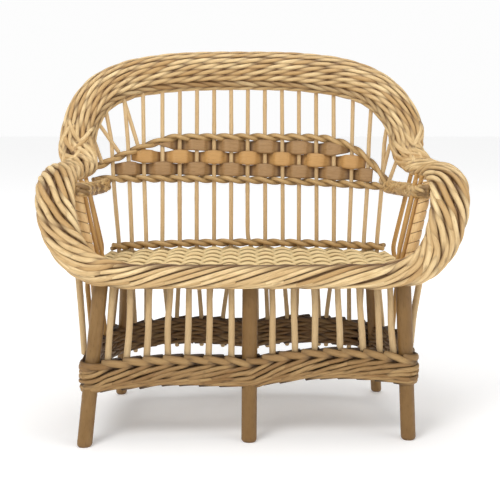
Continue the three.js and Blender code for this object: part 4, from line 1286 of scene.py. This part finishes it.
SKIRT_Z = 64 * MM
SKIRT_HEIGHT = 28 * MM
SKIRT_LEG_THICK = 19.0 * MM
SKIRT_BAY_THICK = 12.5 * MM
BAY_POINTS = 13
# Corner by corner: leg, height of the skirt there, and the rise and outward bow up to the next leg.
SKIRT_CORNERS = (
    ("rear_leg_left", 64.0, 2.5, 9.0),
    ("front_leg_left", 60.4, 4.0, 0.5),
    ("front_leg_middle", 62.6, 7.0, 0.5),
    ("front_leg_right", 64.9, 2.5, 9.0),
    ("rear_leg_right", 64.0, 5.0, 6.0),
    ("rear_leg_middle", 64.0, 5.0, 6.0),
)
CORNER_OUTSET = 2.4 * MM             # how far the skirt's middle stands outside a corner leg


def skirt_track():
    """The skirt as one band that goes round the legs and on over its own start.

    Between two legs the band bows outward and rises by sines of the part of the way.
    """
    corners = [*SKIRT_CORNERS, *SKIRT_CORNERS[:3]]
    spots = []
    for name, *_ in corners:
        centre = leg_centre(name, SKIRT_Z)
        outward = np.array([np.sign(round(centre[0], 2)), 1.0 if name.startswith("rear") else -1.0])
        if name.endswith("middle"):
            outward = np.array([0.0, 0.0])
        spots.append(centre + unit(outward + 1e-9) * (0 if name.endswith("middle") else CORNER_OUTSET))
    points, thicks, marks = [], [], []
    for step in range(len(corners) - 1):
        start, end = spots[step], spots[step + 1]
        low, high = corners[step][1] * MM, corners[step + 1][1] * MM
        rise, bow = corners[step][2] * MM, corners[step][3] * MM
        t = np.arange(BAY_POINTS) / BAY_POINTS
        hump = np.sin(math.pi * t)
        direction = unit(end - start)
        side = np.array([direction[1], -direction[0]])
        flat = start + (end - start) * t[:, None] + side * bow * hump[:, None]
        height = low + (high - low) * t + rise * hump
        marks.append(len(points) * BAY_POINTS)
        points.append(np.concatenate([flat, height[:, None]], axis=1))
        thicks.append(
            SKIRT_LEG_THICK + (SKIRT_BAY_THICK - SKIRT_LEG_THICK) * np.minimum(1, 2.2 * hump)
        )
    points = np.concatenate(points)
    edges = np.tile(UP, (len(points), 1))
    widths = np.full(len(points), SKIRT_HEIGHT)
    track = Track(points, edges, widths, np.concatenate(thicks), samples=3000)
    track.corner_s = [track.knot_s[index] for index in marks]
    return track


def weave_skirt_run(track, rng, name, s0, s1, settings):
    """One run of the skirt: a top row, a belt of grouped strokes, a lower row and the inner face."""
    batch = RodBatch(sides=10)

    def front(s, across, height):
        return track.panel(s, across, height)

    def behind(s, across, height):
        return track.panel(s, across, height, face=-1.0)

    pitch = settings.skirt_pitch
    starts = np.arange(s0 + pitch / 2, s1, pitch)
    count = len(starts)
    starts = starts + rng.normal(0, 0.8 * MM, count)
    # Top row: wide rods that lean back, each end tucked under the next.
    lay_strokes(
        batch, front, rng, starts, length=27 * MM, across=9.6 * MM, turn=-5.6 * MM,
        radius=3.5 * MM, flat=0.62, dip_start=0.4 * MM, dip_end=3.0 * MM, tip_shade_start=0.3,
        lift=0.8 * MM, wobble=0.15 * MM,
    )
    # Belt: groups of rods that climb to the right.
    for step in range(3):
        lay_strokes(
            batch, front, rng, starts + (step - 1) * 3.4 * MM + rng.normal(0, 1.2 * MM, count),
            length=38 * MM, across=(2.4 - 3.6 * step) * MM, turn=10.5 * MM, radius=2.15 * MM,
            samples=20, dip_start=2.4 * MM, dip_end=2.8 * MM, lift=0.6 * MM, wobble=0.35 * MM,
        )
    # Lower edge: thinner rods at a flatter angle.
    for step in range(2):
        lay_strokes(
            batch, front, rng, starts + 7 * MM * step + rng.normal(0, 2 * MM, count),
            length=48 * MM, across=(-8.6 - 2.6 * step) * MM, turn=5.0 * MM, radius=1.85 * MM,
            samples=22, dip_start=1.6 * MM, dip_end=2.2 * MM, wobble=0.4 * MM, tone=0.5,
            power=2.6,
        )
    # Inner face: six level rows that lean by turns up and down, darkened with painted shade.
    for row in range(6):
        lay_strokes(
            batch, behind, rng, starts + rng.uniform(0, pitch), length=32 * MM,
            across=(-10.6 + 4.25 * row) * MM, turn=4.2 * MM * (1 if row % 2 else -1),
            radius=2.15 * MM, dip_start=2.4 * MM, dip_end=2.4 * MM, shade=0.55, tone=0.3,
        )
    rows = np.linspace(-10.5, 10.5, 6) * MM
    lay_filler(batch, front, s0, s1, rows, 2.0 * MM, -4.6 * MM, rng, shade=0.1)
    batch.build(f"{name}_rods", [name], "skirt_weave")


def weave_skirt(settings):
    """The woven skirt round the legs, one mesh for each side."""
    track = skirt_track()
    rng = np.random.default_rng(settings.seed + 81)
    corner = track.corner_s
    runs = (
        ("skirt_left", corner[0], corner[1]),
        ("skirt_front", corner[1], corner[3]),
        ("skirt_right", corner[3], corner[4]),
        ("skirt_rear", corner[4], corner[6]),
    )
    for name, s0, s1 in runs:
        weave_skirt_run(track, rng, name, s0, s1, settings)


# ---------------------------------------------------------------- stage


# Lamps: name, place, width of the disk, and power as a share of the key lamp's.
LAMPS = (
    ("key", (-0.7, -1.1, 1.5), 0.9, 1.0),
    ("fill", (1.3, -0.9, 0.8), 1.2, 0.3),
    ("top", (0.1, 0.2, 1.9), 1.2, 0.6),
)
LAMP_TARGET = Vector((0, 0, 0.2))
FLOOR_REACH = 6.0
GLOW_RUN = (0.15, 0.8)         # metres from the middle over which the floor's glow grows
NEAR_GLOW = 0.17
HORIZON = (0.10, 0.34)         # height, as a sine, over which the backdrop gives way to the surround
SENSOR_WIDTH = 36.0            # millimetres
LENS_SHIFT = 0.004             # sideways shift of the picture, as a share of its width


def set_stage(settings):
    """Pale floor, soft daylight from above and the front, and the camera."""
    scene = bpy.context.scene
    floor_mesh = bpy.data.meshes.new("floor")
    corners = [(x * FLOOR_REACH, y * FLOOR_REACH, 0) for x, y in ((-1, -1), (1, -1), (1, 1), (-1, 1))]
    floor_mesh.from_pydata(corners, [], [(0, 1, 2, 3)])
    floor = bpy.data.objects.new("floor", floor_mesh)
    scene.collection.objects.link(floor)
    paper = bpy.data.materials.new("floor_paper")
    paper.use_nodes = True
    shader = paper.node_tree.nodes["Principled BSDF"]
    shader.inputs["Base Color"].default_value = (0.93, 0.93, 0.93, 1)
    shader.inputs["Roughness"].default_value = 0.9
    shader.inputs["Specular IOR Level"].default_value = 0.1
    # The paper glows a little under the settee and as brightly as the backdrop far from it.
    place = add_node(paper.node_tree, "ShaderNodeTexCoord").outputs["Object"]
    away = add_node(paper.node_tree, "ShaderNodeVectorMath", inputs={0: place})
    away.operation = "LENGTH"
    glow = map_range(
        paper.node_tree, away.outputs["Value"], *GLOW_RUN, NEAR_GLOW, settings.floor_glow
    )
    shader.inputs["Emission Color"].default_value = (1.0, 1.0, 1.0, 1)
    paper.node_tree.links.new(glow, shader.inputs["Emission Strength"])
    floor_mesh.materials.append(paper)

    world = bpy.data.worlds.new("studio")
    scene.world = world
    world.use_nodes = True
    tree = world.node_tree
    background = tree.nodes["Background"]
    background.inputs["Color"].default_value = (1.0, 1.0, 1.0, 1)
    # A bright band just above the floor stands for a white paper backdrop all round.
    direction = add_node(tree, "ShaderNodeTexCoord").outputs["Generated"]
    upward = add_node(tree, "ShaderNodeSeparateXYZ", inputs={0: direction}).outputs["Z"]
    strength = map_range(tree, upward, *HORIZON, settings.backdrop, settings.ambient)
    tree.links.new(strength, background.inputs["Strength"])

    for name, place, size, share in LAMPS:
        light = bpy.data.lights.new(name, "AREA")
        light.energy = settings.key_power * share
        light.shape = "DISK"
        light.size = size
        lamp = bpy.data.objects.new(name, light)
        lamp.location = place
        lamp.rotation_euler = (LAMP_TARGET - Vector(place)).to_track_quat("-Z", "Y").to_euler()
        scene.collection.objects.link(lamp)

    camera_data = bpy.data.cameras.new("camera")
    camera = bpy.data.objects.new("camera", camera_data)
    camera_data.sensor_width = SENSOR_WIDTH
    camera_data.lens = settings.lens
    camera_data.shift_x = LENS_SHIFT
    camera.location = (SIDE_SHIFT, -settings.camera_distance + FRONT_SHIFT, settings.camera_height)
    camera.rotation_euler = (math.pi / 2 - settings.camera_pitch, 0.0, 0.0)
    scene.collection.objects.link(camera)
    scene.camera = camera
    scene.view_settings.view_transform = "Standard"
    scene.view_settings.exposure = settings.exposure


# ---------------------------------------------------------------- settings


def millimetres(name, description, size):
    """A length setting whose default is given in millimetres."""
    return bpy.props.FloatProperty(name=name, description=description, default=size * MM, unit="LENGTH")


class WillowSettings(bpy.types.PropertyGroup):
    """Sizes of the rods and of the weave."""

    seed: bpy.props.IntProperty(name="Seed", description="Start of the random drift", default=7)
    rod_radius: millimetres("Collar Rod", "Radius of the collar rods", 2.35)
    stroke_pitch: millimetres("Stroke Pitch", "Spacing of the collar strokes", 18.5)
    stroke_length: millimetres("Stroke Length", "Length of a collar stroke", 38)
    thick_rod_radius: millimetres("Front Rod", "Radius of the rods of the seat front", 2.4)
    arm_rod_radius: millimetres("Arm Stroke", "Radius of the strokes of the arm rolls", 2.9)
    arm_pitch: millimetres("Arm Pitch", "Spacing of the arm strokes", 15)
    arm_length: millimetres("Arm Rod Run", "Run of an arm stroke along the roll", 44)
    front_pitch: millimetres("Front Pitch", "Spacing of the seat front rods", 15.5)
    front_length: millimetres("Front Rod Run", "Run of a seat front rod", 96)
    back_radius: millimetres("Back Stake", "Radius of the back stakes", 2.3)
    front_radius: millimetres("Front Stake", "Radius of the stakes under the seat", 3.15)
    side_radius: millimetres("Side Stake", "Radius of the stakes under the arms", 2.4)
    leg_radius: millimetres("Front Leg", "Radius of the front legs", 7.0)
    rear_leg_radius: millimetres("Rear Leg", "Radius of the rear legs", 5.5)
    post_radius: millimetres("Arm Post", "Radius of a bound arm post", 5.2)
    binding_turns: bpy.props.IntProperty(
        name="Binding Turns", description="Turns of cane on a post", default=8
    )
    seat_rows: bpy.props.IntProperty(name="Seat Rows", description="Rods across the seat", default=46)
    seat_block: bpy.props.IntProperty(
        name="Seat Block", description="Rows that pass the stakes on the same side", default=4
    )
    seat_radius: millimetres("Seat Rod", "Radius of the seat rods", 1.5)
    seat_pitch: millimetres("Seat Stake Pitch", "Spacing of the hidden seat stakes", 17.6)
    seat_wave: millimetres("Seat Wave", "Rise of the seat rods over a stake", 2.5)
    rope_radius: millimetres("Weaver", "Radius of the paired weavers", 2.3)
    rope_swing: millimetres("Weaver Swing", "How far a weaver stands off the stakes", 4.1)
    rope_climb: millimetres("Weaver Climb", "How far the pair twists up and down", 1.9)
    strip_reach: millimetres("Skein Reach", "How far a skein stands off the stakes", 3.4)
    skirt_pitch: millimetres("Skirt Pitch", "Spacing of the skirt strokes", 18.3)
    camera_distance: bpy.props.FloatProperty(
        name="Camera Distance", description="From the seat front to the camera", default=1.0, unit="LENGTH"
    )
    camera_height: bpy.props.FloatProperty(
        name="Camera Height", description="Height of the camera", default=0.323, unit="LENGTH"
    )
    camera_pitch: bpy.props.FloatProperty(
        name="Camera Pitch", description="How far the camera looks down", default=0.1475, subtype="ANGLE"
    )
    lens: bpy.props.FloatProperty(name="Lens", description="Focal length in millimetres", default=79.9)
    ambient: bpy.props.FloatProperty(name="Ambient", description="Strength of the surround", default=0.42)
    floor_glow: bpy.props.FloatProperty(
        name="Floor glow", description="Light that the far floor gives off", default=0.5
    )
    backdrop: bpy.props.FloatProperty(
        name="Backdrop", description="Strength of the band above the floor", default=0.98
    )
    key_power: bpy.props.FloatProperty(
        name="Key Power", description="Power of the key lamp", default=15.5, unit="POWER"
    )
    exposure: bpy.props.FloatProperty(name="Exposure", description="Exposure in stops", default=0.0)


class WillowColours(bpy.types.PropertyGroup):
    """A light, a middle and a dark colour for each finish, filled in from the palettes."""

    __annotations__ = {}


for finish, palette in PALETTES.items():
    for shade, colour in zip(SHADES, palette):
        WillowColours.__annotations__[f"{finish}_{shade}"] = bpy.props.FloatVectorProperty(
            name=f"{finish} {shade}".replace("_", " ").title(),
            description=f"The {shade} colour of the finish",
            default=colour,
            size=4,
            min=0.0,
            max=1.0,
            subtype="COLOR",
        )


# ---------------------------------------------------------------- operators


class WILLOW_OT_collar(bpy.types.Operator):
    """Weave the waled collar over the back"""

    bl_idname = "willow.collar"
    bl_label = "Weave Collar"

    def execute(self, context):
        weave_collar(context.scene.willow)
        return {"FINISHED"}


class WILLOW_OT_arms(bpy.types.Operator):
    """Weave both arm rolls and the rows under them"""

    bl_idname = "willow.arms"
    bl_label = "Weave Arms"

    def execute(self, context):
        weave_arm_rolls(context.scene.willow)
        weave_arm_rows(context.scene.willow)
        return {"FINISHED"}


class WILLOW_OT_seat_front(bpy.types.Operator):
    """Weave the rolled border of the seat front"""

    bl_idname = "willow.seat_front"
    bl_label = "Weave Seat Front"

    def execute(self, context):
        weave_seat_front(context.scene.willow)
        return {"FINISHED"}


class WILLOW_OT_back_stakes(bpy.types.Operator):
    """Raise the stakes of the back"""

    bl_idname = "willow.back_stakes"
    bl_label = "Raise Back Stakes"

    def execute(self, context):
        raise_back_stakes(context.scene.willow)
        raise_leaning_stakes(context.scene.willow)
        return {"FINISHED"}


class WILLOW_OT_front_stakes(bpy.types.Operator):
    """Raise the stakes under the seat front"""

    bl_idname = "willow.front_stakes"
    bl_label = "Raise Front Stakes"

    def execute(self, context):
        raise_front_stakes(context.scene.willow)
        return {"FINISHED"}


class WILLOW_OT_side_stakes(bpy.types.Operator):
    """Raise the stakes and braces under the arms"""

    bl_idname = "willow.side_stakes"
    bl_label = "Raise Side Stakes"

    def execute(self, context):
        raise_side_stakes(context.scene.willow)
        raise_braces(context.scene.willow)
        return {"FINISHED"}


class WILLOW_OT_legs(bpy.types.Operator):
    """Make the six legs"""

    bl_idname = "willow.legs"
    bl_label = "Carve Legs"

    def execute(self, context):
        carve_legs(context.scene.willow)
        return {"FINISHED"}


class WILLOW_OT_posts(bpy.types.Operator):
    """Bind the arm posts with cane"""

    bl_idname = "willow.posts"
    bl_label = "Bind Posts"

    def execute(self, context):
        bind_posts(context.scene.willow)
        return {"FINISHED"}


class WILLOW_OT_seat(bpy.types.Operator):
    """Weave the seat"""

    bl_idname = "willow.seat"
    bl_label = "Weave Seat"

    def execute(self, context):
        weave_seat(context.scene.willow)
        return {"FINISHED"}


class WILLOW_OT_ropes(bpy.types.Operator):
    """Weave the paired rows of the back"""

    bl_idname = "willow.ropes"
    bl_label = "Weave Paired Rows"

    def execute(self, context):
        weave_ropes(context.scene.willow)
        return {"FINISHED"}


class WILLOW_OT_strips(bpy.types.Operator):
    """Weave the split skeins of the band"""

    bl_idname = "willow.strips"
    bl_label = "Weave Skeins"

    def execute(self, context):
        weave_strips(context.scene.willow)
        return {"FINISHED"}


class WILLOW_OT_skirt(bpy.types.Operator):
    """Weave the skirt round the legs"""

    bl_idname = "willow.skirt"
    bl_label = "Weave Skirt"

    def execute(self, context):
        weave_skirt(context.scene.willow)
        return {"FINISHED"}


class WILLOW_OT_stage(bpy.types.Operator):
    """Add the floor, the lamps and the camera"""

    bl_idname = "willow.stage"
    bl_label = "Set Stage"

    def execute(self, context):
        set_stage(context.scene.willow)
        return {"FINISHED"}


OPERATORS = (
    WILLOW_OT_collar,
    WILLOW_OT_arms,
    WILLOW_OT_seat_front,
    WILLOW_OT_back_stakes,
    WILLOW_OT_front_stakes,
    WILLOW_OT_side_stakes,
    WILLOW_OT_legs,
    WILLOW_OT_posts,
    WILLOW_OT_seat,
    WILLOW_OT_ropes,
    WILLOW_OT_strips,
    WILLOW_OT_skirt,
    WILLOW_OT_stage,
)


class WILLOW_PT_panel(bpy.types.Panel):
    """Buttons, sizes and colours of the settee in the sidebar."""

    bl_label = "Willow Settee"
    bl_idname = "WILLOW_PT_panel"
    bl_space_type = "VIEW_3D"
    bl_region_type = "UI"
    bl_category = "Willow"

    def draw(self, context):
        layout = self.layout
        for item in OPERATORS:
            layout.operator(item.bl_idname)
        for name in WillowSettings.__annotations__:
            layout.prop(context.scene.willow, name)
        for name in WillowColours.__annotations__:
            layout.prop(context.scene.willow_colours, name)


CLASSES = (WillowSettings, WillowColours, *OPERATORS, WILLOW_PT_panel)


def register():
    """Registers the classes and the settings."""
    for item in CLASSES:
        bpy.utils.register_class(item)
    bpy.types.Scene.willow = bpy.props.PointerProperty(type=WillowSettings)
    bpy.types.Scene.willow_colours = bpy.props.PointerProperty(type=WillowColours)


def unregister():
    """Removes the settings and the classes."""
    del bpy.types.Scene.willow
    del bpy.types.Scene.willow_colours
    for item in reversed(CLASSES):
        bpy.utils.unregister_class(item)


def main():
    """Builds every piece."""
    register()
    for item in OPERATORS:
        group, action = item.bl_idname.split(".")
        result = getattr(getattr(bpy.ops, group), action)()
        if result != {"FINISHED"}:
            raise RuntimeError(item.bl_idname + " did not finish")


if __name__ == "__main__":
    main()
